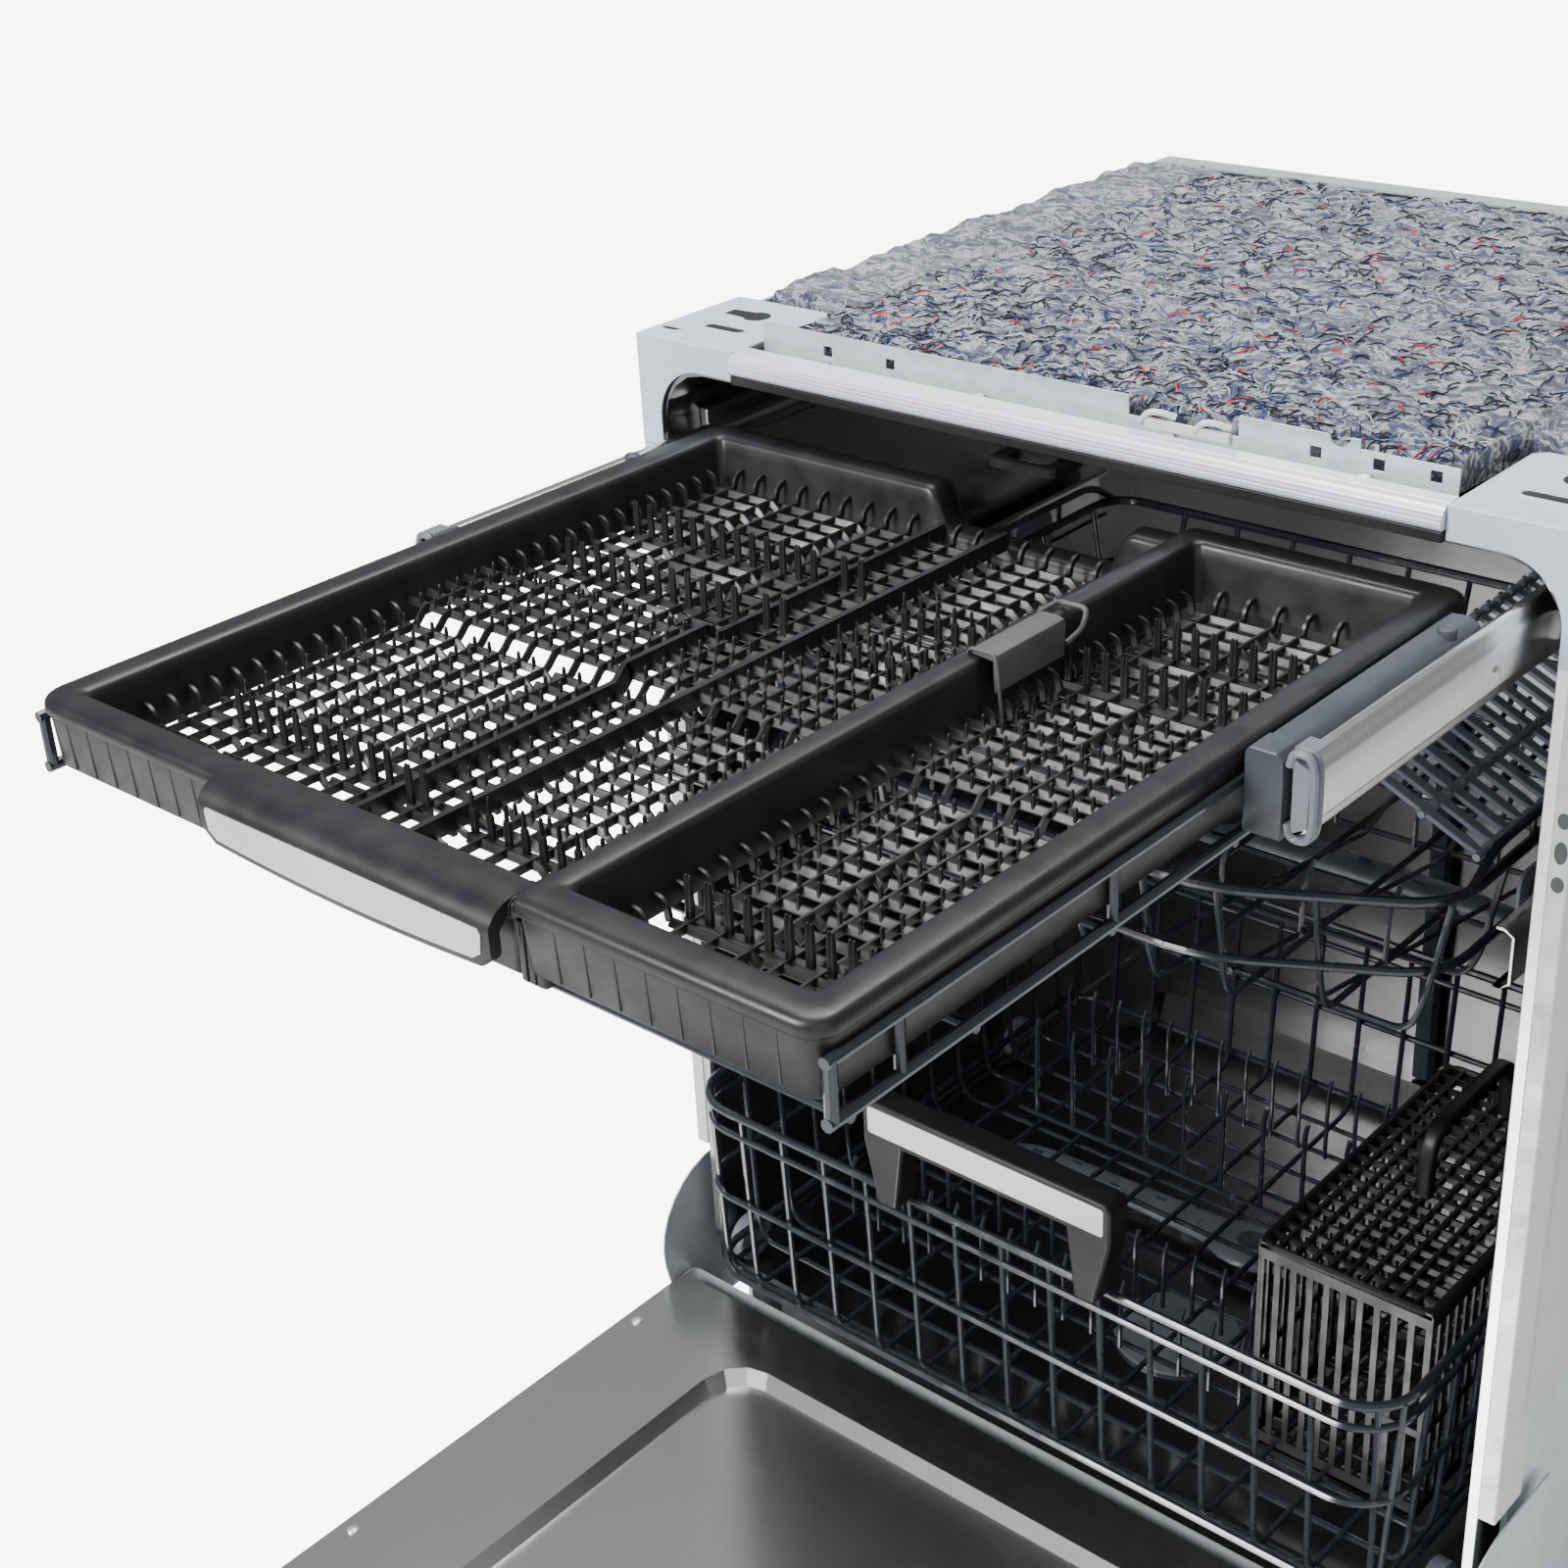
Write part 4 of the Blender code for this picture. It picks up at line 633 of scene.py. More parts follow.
def drawer_handle():
    low, high = cad("drawer_handle")
    x0, x1 = low.x, high.x
    front, base = low.y - 0.0002, low.z
    middle, half = (x0 + x1) / 2, (x1 - x0) / 2
    back_edge = TRAY_FRONT + RIM
    bm = bmesh.new()
    loops = []
    count = 24
    for i in range(count + 1):
        x = x0 + (x1 - x0) * i / count
        bow = ((x - middle) / half) ** 2
        bottom = base + 0.0035 * bow + 0.0050 * smooth((abs(x - middle) / half - 0.965) / 0.035)
        loops.append([(x, y, z) for y, z in (
            (back_edge - 0.0010, RIM_Z + 0.0002), (back_edge - 0.0050, RIM_Z + 0.0008), (-0.4560, RIM_Z + 0.0010),
            (-0.4620, RIM_Z + 0.0007), (-0.4665, RIM_Z - 0.0002), (-0.4702, RIM_Z - 0.0019),
            (-0.4728, RIM_Z - 0.0042), (front, RIM_Z - 0.0075), (front, RIM_Z - 0.0105),
            (front, bottom + 0.0028), (front + 0.0006, bottom + 0.0009), (front + 0.0022, bottom),
            (front + 0.0048, bottom + 0.0004), (front + 0.0056, bottom + 0.0020), (front + 0.0056, RIM_Z - 0.0110),
            (TRAY_FRONT - 0.0005, RIM_Z - 0.0060), (TRAY_FRONT + 0.003, RIM_Z - 0.0010),
            (back_edge - 0.0012, RIM_Z - 0.0008))])
    loft(bm, loops)
    finish_piece("drawer_handle_bow", bm, BLACK, "drawer", "black_plastic", "drawer_handle", angle=45)
    plate_low, plate_high = cad("drawer_handle_plate")
    x2, x3 = plate_low.x - 0.0040, plate_high.x + 0.0040
    plate_top, plate_base = RIM_Z - 0.0088, base + 0.0042
    bm = bmesh.new()
    outline = [(x2 + 0.0015, plate_top), (x2, plate_top - 0.0020)]
    outline.append((x2 + 0.0012, plate_base + 0.0060))
    for i in range(13):
        x = x2 + 0.006 + (x3 - x2 - 0.012) * i / 12
        outline.append((x, plate_base + 0.0035 * ((x - middle) / half) ** 2))
    outline += [(x3 - 0.0012, plate_base + 0.0060), (x3, plate_top - 0.0020), (x3 - 0.0015, plate_top)]
    slab(bm, outline, "Y", front - 0.0006, front + 0.0004)
    finish_piece("drawer_handle_steel", bm, SATIN, "drawer", "satin_steel", "drawer_handle_plate", bevel=0.0002)
    # Thin near-black strips at the handle cover's ends: painted shade standing in for the gaps at its seams.
    seams = bmesh.new()
    for x in (x0 - 0.0004, x1 + 0.0004):
        route = [(x, back_edge, RIM_Z + 0.0001), (x, -0.4560, RIM_Z + 0.0002), (x, -0.4618, RIM_Z + 0.0001),
                 (x, -0.4642, RIM_Z - 0.0020), (x, -0.4648, RIM_Z - 0.0070)]
        sweep(seams, route, 0.00045, 6)
    finish_piece("drawer_handle_seam_shade", seams, RUBBER_AND_SHADE, "drawer", "black_plastic")


def cradle():
    """The wires that carry the trays."""
    bm = bmesh.new()
    radius = 0.0028
    top, low = RIM_Z - 0.0120, RIM_Z - 0.0374
    front, back = -0.4600, -0.0120
    for sign in (-1, 1):
        x = sign * (RIM_HALF - 0.0014)
        sweep(bm, fillet([(x, front, low - 0.001), (x, front, top + 0.0010)], 0.001), radius, 10)
        sweep(bm, [(x, front - 0.0030, top), (x, back, top)], radius * 0.95, 10)
        sweep(bm, [(x, front - 0.0030, low), (x, back, low)], radius, 10)
        for y in (-0.4225, -0.2900, -0.1850, -0.0900, back):
            sweep(bm, [(x, y, low), (x, y, top)], radius * 0.85, 8)
    for y in (front + 0.010, -0.3780, -0.2900, -0.2000, -0.1100, -0.0300):
        sweep(bm, [(-RIM_HALF + 0.001, y, low - 0.0035), (RIM_HALF - 0.001, y, low - 0.0035)], radius * 0.8, 8)
    finish_piece("drawer_cradle", bm, WIRE, "drawer", "coated_wire", "drawer_wire_frame")


def drawer_bracket(side, sign):
    """The moulded carrier beside the trays: a long rounded bar, a front block, windows and a boss."""
    low, high = cad(f"drawer_bracket_{side}")
    inner = min(abs(low.x), abs(high.x))
    outer = max(abs(low.x), abs(high.x))

    def strip(bm, outline, y0, y1):
        slab(bm, [(sign * x, z) for x, z in outline], "Y", y0, y1)

    bm = bmesh.new()
    top = high.z
    floor = max(low.z + 0.0010, top - 0.0300)
    cap = [(inner + 0.0060, floor), (outer, floor), (outer, top - 0.0060), (outer - 0.0015, top - 0.0028),
           (outer - 0.0045, top - 0.0008), (outer - 0.0085, top), (inner + 0.0040, top - 0.0005), (inner, top - 0.0040),
           (inner + 0.0005, top - 0.0090), (inner + 0.0045, top - 0.0100)]
    strip(bm, cap, -0.1900, -0.0330)
    shelf = max(low.z + 0.0020, top - 0.0290)
    lower = [(inner + 0.0045, low.z + 0.0010), (outer - 0.0035, low.z + 0.0010), (outer - 0.0035, shelf),
             (inner + 0.0045, shelf)]
    strip(bm, lower, -0.1980, -0.0400)
    head = [(inner + 0.0010, low.z), (outer, low.z), (outer, top - 0.0120), (outer - 0.0004, top - 0.0030),
            (outer - 0.0035, top + 0.0002), (inner + 0.0030, top + 0.0002), (inner + 0.0010, top - 0.0030)]
    strip(bm, head, -0.2045, -0.1880)
    x = sign * (outer - 0.006)
    lathe(bm, [(0.0045, top - 0.004), (0.0045, top + 0.0020), (0.0030, top + 0.0030), (0.0022, top + 0.0024)],
          (x, -0.0560, 0), steps=20)
    finish_piece(f"drawer_bracket_{side}_moulding", bm, DARK, "drawer", "dark_grey_plastic",
                 f"drawer_bracket_{side}", bevel=0.0010)
    # Near-black blocks on the bracket's face: painted shade standing in for its open windows.
    marks = bmesh.new()
    face = sign * (outer + 0.0001)
    for y, z, wide, tall in ((-0.1755, top - 0.0165, 0.0060, 0.0070), (-0.0640, top - 0.0150, 0.0050, 0.0060),
                             (-0.1200, top - 0.0200, 0.0090, 0.0020), (-0.1965, top - 0.0210, 0.0035, 0.0050),
                             (-0.1985, low.z + 0.0060, 0.0035, 0.0060)):
        block(marks, (min(face, face - sign * 0.002), y - wide / 2, z - tall / 2),
              (max(face, face - sign * 0.002), y + wide / 2, z + tall / 2))
    finish_piece(f"drawer_bracket_{side}_windows", marks, RUBBER_AND_SHADE, "drawer", "dark_grey_plastic")


def drawer_rail(side, sign):
    """The rail's middle member with its rolled lips, and the grey clip on its front end."""
    low, high = cad(f"drawer_rail_{side}")
    inner = min(abs(low.x), abs(high.x))
    outer = max(abs(low.x), abs(high.x))
    z0, z1 = low.z, high.z
    wall = 0.0016
    k = min(1.0, (z1 - z0) / 0.030)
    half = [(0.0, 0.0050), (0.0006, 0.0022), (0.0022, 0.0005), (0.0045, 0.0), (0.0068, 0.0007), (0.0080, 0.0026),
            (0.0082, 0.0052), (0.0094, 0.0075), (0.0100, 0.0095)]
    inside = [(0.0100 - wall, 0.0100), (0.0066, 0.0060), (0.0055, 0.0024), (0.0035, wall), (wall, 0.0044)]
    outline = [(inner + x, z1 - k * z) for x, z in half] + [(inner + x, z0 + k * z) for x, z in half[::-1]]
    outline += [(inner + x, z0 + k * z) for x, z in inside[::-1]] + [(inner + x, z1 - k * z) for x, z in inside]
    bm = bmesh.new()
    slab(bm, [(sign * x, z) for x, z in outline], "Y", low.y + 0.003, high.y)
    for y in (-0.0415, 0.120):
        if z1 - z0 < 0.025:
            break
        lathe(bm, [(0.0030, 0.0), (0.0030, sign * 0.0008), (0.0018, sign * 0.0013)],
              (sign * outer, y, (z0 + z1) / 2 - 0.002), "X", 16)
    finish_piece(f"drawer_rail_{side}_member", bm, RAIL_STEEL, "drawer_rails", "stainless_steel",
                 f"drawer_rail_{side}", angle=40)
    clip = bmesh.new()
    for y in (low.y + 0.0012, low.y + 0.0052):
        route = [(sign * (inner - 0.0006), y, z1 - 0.0060), (sign * (inner + 0.0010), y, z1 + 0.0006),
                 (sign * (outer - 0.0010), y, z1 + 0.0002), (sign * (outer + 0.0009), y, z1 - 0.0060),
                 (sign * (outer + 0.0012), y, (z0 + z1) / 2), (sign * (outer + 0.0009), y, z0 + 0.0060),
                 (sign * (outer - 0.0010), y, z0 - 0.0002), (sign * (inner + 0.0010), y, z0 - 0.0006),
                 (sign * (inner - 0.0006), y, z0 + 0.0060)]
        sweep(clip, fillet(route, 0.005, 4), 0.0019, 10)
    plug = [(inner + 0.0014, z0 + 0.0020), (outer - 0.0012, z0 + 0.0060), (outer - 0.0006, z1 - 0.0060),
            (inner + 0.0014, z1 - 0.0020)]
    slab(clip, [(sign * x, z) for x, z in plug], "Y", low.y + 0.0006, low.y + 0.0090)
    top = sorted((sign * (inner - 0.0004), sign * (outer - 0.0010)))
    block(clip, (top[0], low.y + 0.004, z1 + 0.0002), (top[1], low.y + 0.016, z1 + 0.0014))
    finish_piece(f"drawer_rail_{side}_clip", clip, GREY, "drawer_rails", "grey_plastic", bevel=0.0004)


# ---------------------------------------------------------------- cabinet front


def mirrored(points, sign):
    return [(sign * point[0], *point[1:]) for point in points]


def corner_bracket(side, sign):
    """The painted corner: a face round the opening, folded over rounded edges to a top and a side."""
    low, high = cad(f"corner_bracket_{side}")
    inner_x = min(abs(low.x), abs(high.x))
    wall, base = SHEET, low.z
    opening, roof, radius = TUB_HIGH.x - 0.0040, TUB_HIGH.z - 0.0030, 0.0320
    bm = bmesh.new()
    face = [(HALF, base), (HALF, TOP), (inner_x, TOP), (inner_x, roof)]
    face += arc((opening - radius, roof - radius), radius, 90, 0, 14) + [(opening, base)]
    slab(bm, [(sign * x, z) for x, z in face], "Y", -wall, 0.0)
    finish_piece(f"corner_face_{side}", bm, PAINT, "cabinet", "blue_grey_paint", f"corner_bracket_{side}", bevel=0.0007)
    lid = bmesh.new()
    depth = high.y
    hole = round_box(inner_x + 0.0200, inner_x + 0.0500, 0.0270, 0.0360, 0.0044, 5)
    outline = [(inner_x, 0.0002), (HALF - 0.0002, 0.0002), (HALF - 0.0002, depth - 0.004), (HALF - 0.004, depth),
               (inner_x + 0.006, depth), (inner_x, depth - 0.006)]
    slab(lid, mirrored(outline, sign), "Z", TOP - wall, TOP + 0.0001)
    side_wall = [(0.0002, base), (0.0002, TOP - 0.0002), (depth, TOP - 0.0002), (depth, TOP - 0.030), (0.030, base)]
    ends = sorted((sign * (HALF - 0.0001), sign * (HALF - wall)))
    slab(lid, side_wall, "X", *ends)
    finish_piece(f"corner_lid_{side}", lid, PAINT, "cabinet", "blue_grey_paint", bevel=0.0005)
    # Near-black patches over the lid's holes and keyhole: painted shade where the holes show the dark space below.
    marks = bmesh.new()
    slab(marks, mirrored(hole, sign), "Z", TOP - 0.0004, TOP + 0.00035)
    second = round_box(inner_x + 0.0560, inner_x + 0.0700, 0.0120, 0.0180, 0.0028, 5)
    slab(marks, mirrored(second, sign), "Z", TOP - 0.0004, TOP + 0.00035)
    keyhole = arc((inner_x + 0.036, 0.061), 0.0085, 40, 320, 10) + [(inner_x + 0.058, 0.0565), (inner_x + 0.058, 0.0655)]
    slab(marks, mirrored(keyhole, sign), "Z", TOP - 0.0004, TOP + 0.00035)
    finish_piece(f"corner_hole_shade_{side}", marks, RUBBER_AND_SHADE, "cabinet", "black_plastic")
    lips = bmesh.new()
    for loop in (hole, second):
        sweep(lips, [(sign * x, y, TOP + 0.0002) for x, y in loop], 0.0007, 6, closed=True)
    finish_piece(f"corner_lips_{side}", lips, PAINT, "cabinet", "blue_grey_paint")


def trim_bead():
    low, high = cad("top_trim_bead")
    half = high.x
    base = low.z
    outline = [(0.0100, base), (0.0100, TOP + 0.0004)]
    ridges = arc((0.0020, TOP - 0.0085), 0.0085, 90, 180, 12)
    for index, (y, z) in enumerate(ridges):
        outline.append((y + (0.00045 if index % 2 else 0.0), z - (0.00030 if index % 2 else 0.0)))
    outline += [(-0.0064, base + 0.0045), (-0.0062, base + 0.0020), (-0.0048, base + 0.0004)]
    bm = bmesh.new()
    slab(bm, outline, "X", -half, half)
    finish_piece("top_trim_profile", bm, TRIM, "cabinet", "silver_trim", "top_trim_bead", angle=25)
    seal = bmesh.new()
    slab(seal, [(-0.0040, TUB_HIGH.z - 0.0040), (-0.0046, base - 0.0002), (0.0040, base - 0.0002), (0.0040, TUB_HIGH.z - 0.0040)],
         "X", -half, half)
    finish_piece("top_seal", seal, RUBBER_AND_SHADE, "cabinet", "black_plastic", bevel=0.0008)


def cross_rail():
    low, high = cad("top_cross_rail")
    half, top = high.x, high.z
    upright = high.y - 0.0006
    base, step = low.z + 0.0008, TOP + 0.0050

    def upstand(bm, x0, x1, height, holes, notch=None):
        """A strip of the upstand, made of the pieces between its square holes."""
        hole_low, hole_high = TOP + 0.0005, TOP + 0.0063
        edges = [x0] + [edge for hole in sorted(holes) for edge in (hole, hole + 0.0062)] + [x1]
        for index in range(0, len(edges) - 1, 2):
            a, b = edges[index], edges[index + 1]
            outline = [(a, base), (b, base), (b, height)]
            if notch and a < notch < b:
                outline += arc((notch, height), 0.0058, 0, -180, 8)
            outline.append((a, height))
            slab(bm, outline, "Y", upright - 0.0006, upright + 0.0006)
        for hole in holes:
            slab(bm, [(hole, base), (hole + 0.0062, base), (hole + 0.0062, hole_low), (hole, hole_low)], "Y",
                 upright - 0.0006, upright + 0.0006)
            if hole_high < height - 0.001:
                slab(bm, [(hole, hole_high), (hole + 0.0062, hole_high), (hole + 0.0062, height), (hole, height)], "Y",
                     upright - 0.0006, upright + 0.0006)

    bm = bmesh.new()
    upstand(bm, -half, 0.0330, top - 0.0005, (-0.1720, -0.1270))
    upstand(bm, 0.0330, 0.0980, step - 0.002, ())
    upstand(bm, 0.0980, 0.1650, top, (0.1380,), 0.1540)
    upstand(bm, 0.1650, half, top - 0.0045, (0.1720, 0.2020))
    fold = [(0.0108, base), (upright, base), (upright, base - 0.0010), (0.0108, base - 0.0010)]
    slab(bm, fold, "X", -half, half)
    slab(bm, [(0.0104, base - 0.001), (0.0114, base - 0.001), (0.0114, TOP - 0.001), (0.0104, TOP - 0.001)], "X",
         -half, half)
    finish_piece("cross_rail_sheet", bm, ZINC, "cabinet", "galvanised_steel", "top_cross_rail", bevel=0.0002)
    clip = bmesh.new()
    for x in (0.050, 0.082):
        route = [(x - 0.009, upright - 0.0022, step - 0.004), (x - 0.004, upright - 0.0028, step + 0.0025),
                 (x + 0.003, upright - 0.0015, step + 0.0030), (x + 0.010, upright + 0.0020, step + 0.0004)]
        sweep(clip, fillet(route, 0.005, 5), 0.0017, 8)
    block(clip, (0.044, upright - 0.0030, step - 0.0060), (0.094, upright - 0.0008, step - 0.0010))
    finish_piece("cross_rail_clip", clip, WHITE, "cabinet", "pale_plastic", bevel=0.0005)


def felt_mat():
    """The felt: a lumpy slab with a torn front edge, a loose nap of coloured fibres lying over it."""
    low, high = cad("insulation_mat")
    half, back = high.x, high.y
    base, top = low.z, high.z
    chooser = random.Random(7)
    columns, rows = 150, 120
    from_x, to_x = -half, half

    def edge(x):
        wave = 0.0035 * math.sin(x * 31) + 0.0025 * math.sin(x * 83 + 1) + 0.0015 * math.sin(x * 211)
        if abs(x) > half * 0.765:
            return 0.0960 + 0.4 * wave
        return 0.0390 + wave

    def lump(x, y):
        return (0.0013 * math.sin(x * 57 + 3 * math.sin(y * 41)) + 0.0011 * math.sin(y * 73 + 2 * math.sin(x * 49))
                + 0.0007 * math.sin((x + y) * 190) + 0.0005 * math.sin((x - y) * 320))

    bm = bmesh.new()
    grid = []
    for i in range(columns + 1):
        x = from_x + (to_x - from_x) * i / columns
        start = edge(x)
        line = []
        for j in range(rows + 1):
            y = start + (back - start) * (j / rows) ** 1.3
            fade = min(1.0, (y - start) / 0.004)
            z = top - 0.0022 + lump(x, y) - 0.0045 * (1 - fade) ** 2 + chooser.uniform(-0.0004, 0.0004)
            line.append(bm.verts.new((x, y, z)))
        grid.append(line)
    under = [[bm.verts.new((line[j].co.x, line[j].co.y + (0.0015 if j == 0 else 0), base + 0.0005)) for j in (0, rows)]
             for line in grid]
    for i in range(columns):
        for j in range(rows):
            bm.faces.new((grid[i][j], grid[i + 1][j], grid[i + 1][j + 1], grid[i][j + 1]))
        bm.faces.new((grid[i][0], under[i][0], under[i + 1][0], grid[i + 1][0]))
        bm.faces.new((grid[i][rows], grid[i + 1][rows], under[i + 1][1], under[i][1]))
        bm.faces.new((under[i][0], under[i][1], under[i + 1][1], under[i + 1][0]))
    for i in (0, columns):
        rim = [grid[i][j] for j in range(rows + 1)] + [under[i][1], under[i][0]]
        bm.faces.new(rim)
    mat = finish_piece("felt_slab", bm, FELT, "cabinet", "recycled_felt", "insulation_mat", angle=80)
    for name, colour, count, width in (
            ("white", (0.62, 0.62, 0.64), 700, 0.00028), ("blue", (0.04, 0.07, 0.20), 800, 0.00040),
            ("red", (0.45, 0.03, 0.03), 110, 0.00055), ("dark", (0.008, 0.012, 0.025), 1400, 0.00050)):
        threads = bmesh.new()
        for _ in range(count):
            x = chooser.uniform(-half * 0.76, half * 0.76)
            start = edge(x)
            y = start + (back - start) * chooser.random() ** 1.6
            heading = chooser.uniform(0, 2 * math.pi)
            length = chooser.uniform(0.004, 0.014)
            route = []
            for k in range(5):
                px = min(half * 0.765, max(-half * 0.765, x + length * (k / 4 - 0.5) * math.cos(heading)))
                py = max(start + 0.0006, y + length * (k / 4 - 0.5) * math.sin(heading))
                heading += chooser.uniform(-0.5, 0.5)
                height = top - 0.0020 + lump(px, py) + 0.0010 * math.sin(math.pi * k / 4)
                fade = min(1.0, (py - start) / 0.004)
                route.append((px, py, height - 0.0045 * (1 - fade) ** 2))
            if (Vector(route[0]) - Vector(route[-1])).length > 0.002:
                sweep(threads, route, width, 3)
        look = surface(f"{name}_fibre", colour, 0.9, grain=500, depth=0.00002, mottle=0.3)
        finish_piece(f"felt_nap_{name}", threads, look, "cabinet", "recycled_felt", angle=80)


def upright(side, sign):
    """The uprights: a bright inner flange, a pale folded strip with dots, and the felt pad on the outside."""
    low, high = cad(f"side_frame_{side}")
    inner = min(abs(low.x), abs(high.x))
    strip = bmesh.new()
    outline = [(inner + 0.0004, -SHEET), (HALF - 0.0008, -SHEET), (HALF - 0.0001, -SHEET + 0.0006), (HALF, 0.0002),
               (HALF, high.y), (HALF - SHEET, high.y), (HALF - SHEET, 0.0), (inner + SHEET, 0.0), (inner + SHEET, 0.008),
               (inner, 0.008), (inner, -SHEET + 0.0004)]
    slab(strip, mirrored(outline, sign), "Z", low.z, high.z)
    finish_piece(f"upright_{side}", strip, UPRIGHT, "cabinet", "galvanised_steel", f"side_frame_{side}", angle=30)
    dots = bmesh.new()
    for z, tall in ((0.6730, 0.0042), (0.6560, 0.0060), (0.6390, 0.0042)):
        outline = [(sign * (HALF - 0.0050) + 0.0033 * math.cos(a), z + tall * math.sin(a))
                   for a in (2 * math.pi * k / 20 for k in range(20))]
        slab(dots, outline, "Y", -SHEET - 0.00025, -SHEET + 0.0003)
    finish_piece(f"upright_dots_{side}", dots, DOT, "cabinet", "grey_plastic")
    flange = bmesh.new()
    ends = sorted((sign * (TUB_HIGH.x - 0.0040), sign * (inner - 0.0002)))
    slab(flange, [(-0.0006, 0.165), (0.0014, 0.165), (0.0014, TUB_HIGH.z - 0.045), (-0.0006, TUB_HIGH.z - 0.045)], "X",
         *ends)
    finish_piece(f"tub_flange_{side}", flange, STEEL_UP, "cabinet", "stainless_steel", bevel=0.0003)
    pad = bmesh.new()
    outline = [(0.022, 0.300)] + arc((0.052, 0.520), 0.026, 180, 90, 8) + [(0.300, 0.546), (0.300, 0.300)]
    ends = sorted((sign * (HALF - 0.0098), sign * (HALF + 0.0022)))
    slab(pad, outline, "X", *ends)
    piece = finish_piece(f"side_pad_{side}", pad, FOAM, "cabinet", "pale_plastic", bevel=0.0015)


UPRIGHT = surface("pale_upright", (0.78, 0.80, 0.81), 0.38, 0.35, grain=140, depth=0.00002, mottle=0.05, smudge=0.10)
STEEL_UP = surface("brushed_flange", (0.66, 0.66, 0.65), 0.25, 1.0, grain=1.0, depth=0.00001,
                   stretch=(1800, 1800, 25), mottle=0.08, smudge=0.06)
DOT = surface("grey_dot", (0.13, 0.15, 0.15), 0.6, grain=600, depth=0.00002, mottle=0.15)


def latch_and_screws():
    bm = bmesh.new()
    for x in (-0.170, -0.060, 0.060, 0.170):
        lathe(bm, [(0.0042, 0.0), (0.0042, 0.0008), (0.0030, 0.0022), (0.0012, 0.0026)],
              (x, 0.0157, TOP - 0.0035), steps=18)
    finish_piece("rail_screws", bm, STEEL, "cabinet", "galvanised_steel")


# ---------------------------------------------------------------- racks

UPPER_LOW, UPPER_HIGH = cad("upper_rack")
LOWER_LOW, LOWER_HIGH = cad("lower_rack")
WIRE_R = 0.0023


def basket_wires(bm, rim, levels, floor_z, columns, rows, inset):
    """A rack's level rings, and the U-shaped wires that run down its walls and along its floor."""
    x0, x1, y0, y1, corner, chamfer = rim

    def ring(z, shrink, radius):
        a, b, c, d = x0 + shrink, x1 - shrink, y0 + shrink, y1 - shrink
        route = [(a + chamfer, c), (b - chamfer, c), (b, c + corner), (b, d), (a, d), (a, c + corner)]
        sweep(bm, fillet([(x, y, z) for x, y in route], 0.028, 6, closed=True), radius, 9, closed=True)

    for z, shrink, radius in levels:
        ring(z, shrink, radius)
    top = levels[0][0]
    for i in range(columns):
        x = x0 + chamfer * 0.55 + (x1 - x0 - chamfer * 1.1) * i / (columns - 1)
        front = y0 + (corner * max(0.0, (abs(x) - (x1 - chamfer)) / chamfer))
        dip = 0.004 if i % 2 else 0.0
        route = [(x, front + 0.001, top), (x, front + inset * 0.6, floor_z + 0.016), (x, front + inset, floor_z + dip),
                 (x, (y0 + y1) / 2, floor_z), (x, y1 - inset, floor_z + dip), (x, y1 - 0.001, top)]
        sweep(bm, fillet(route, 0.016, 5), WIRE_R * 0.86, 8)
    for j in range(rows):
        y = y0 + corner + (y1 - y0 - corner - 0.03) * j / (rows - 1)
        dip = 0.004 if j % 2 else 0.0
        route = [(x0 + 0.001, y, top), (x0 + inset * 0.6, y, floor_z + 0.016), (x0 + inset, y, floor_z - 0.004 + dip),
                 (0, y, floor_z - 0.004), (x1 - inset, y, floor_z - 0.004 + dip), (x1 - inset * 0.6, y, floor_z + 0.016),
                 (x1 - 0.001, y, top)]
        sweep(bm, fillet(route, 0.016, 5), WIRE_R * 0.86, 8)


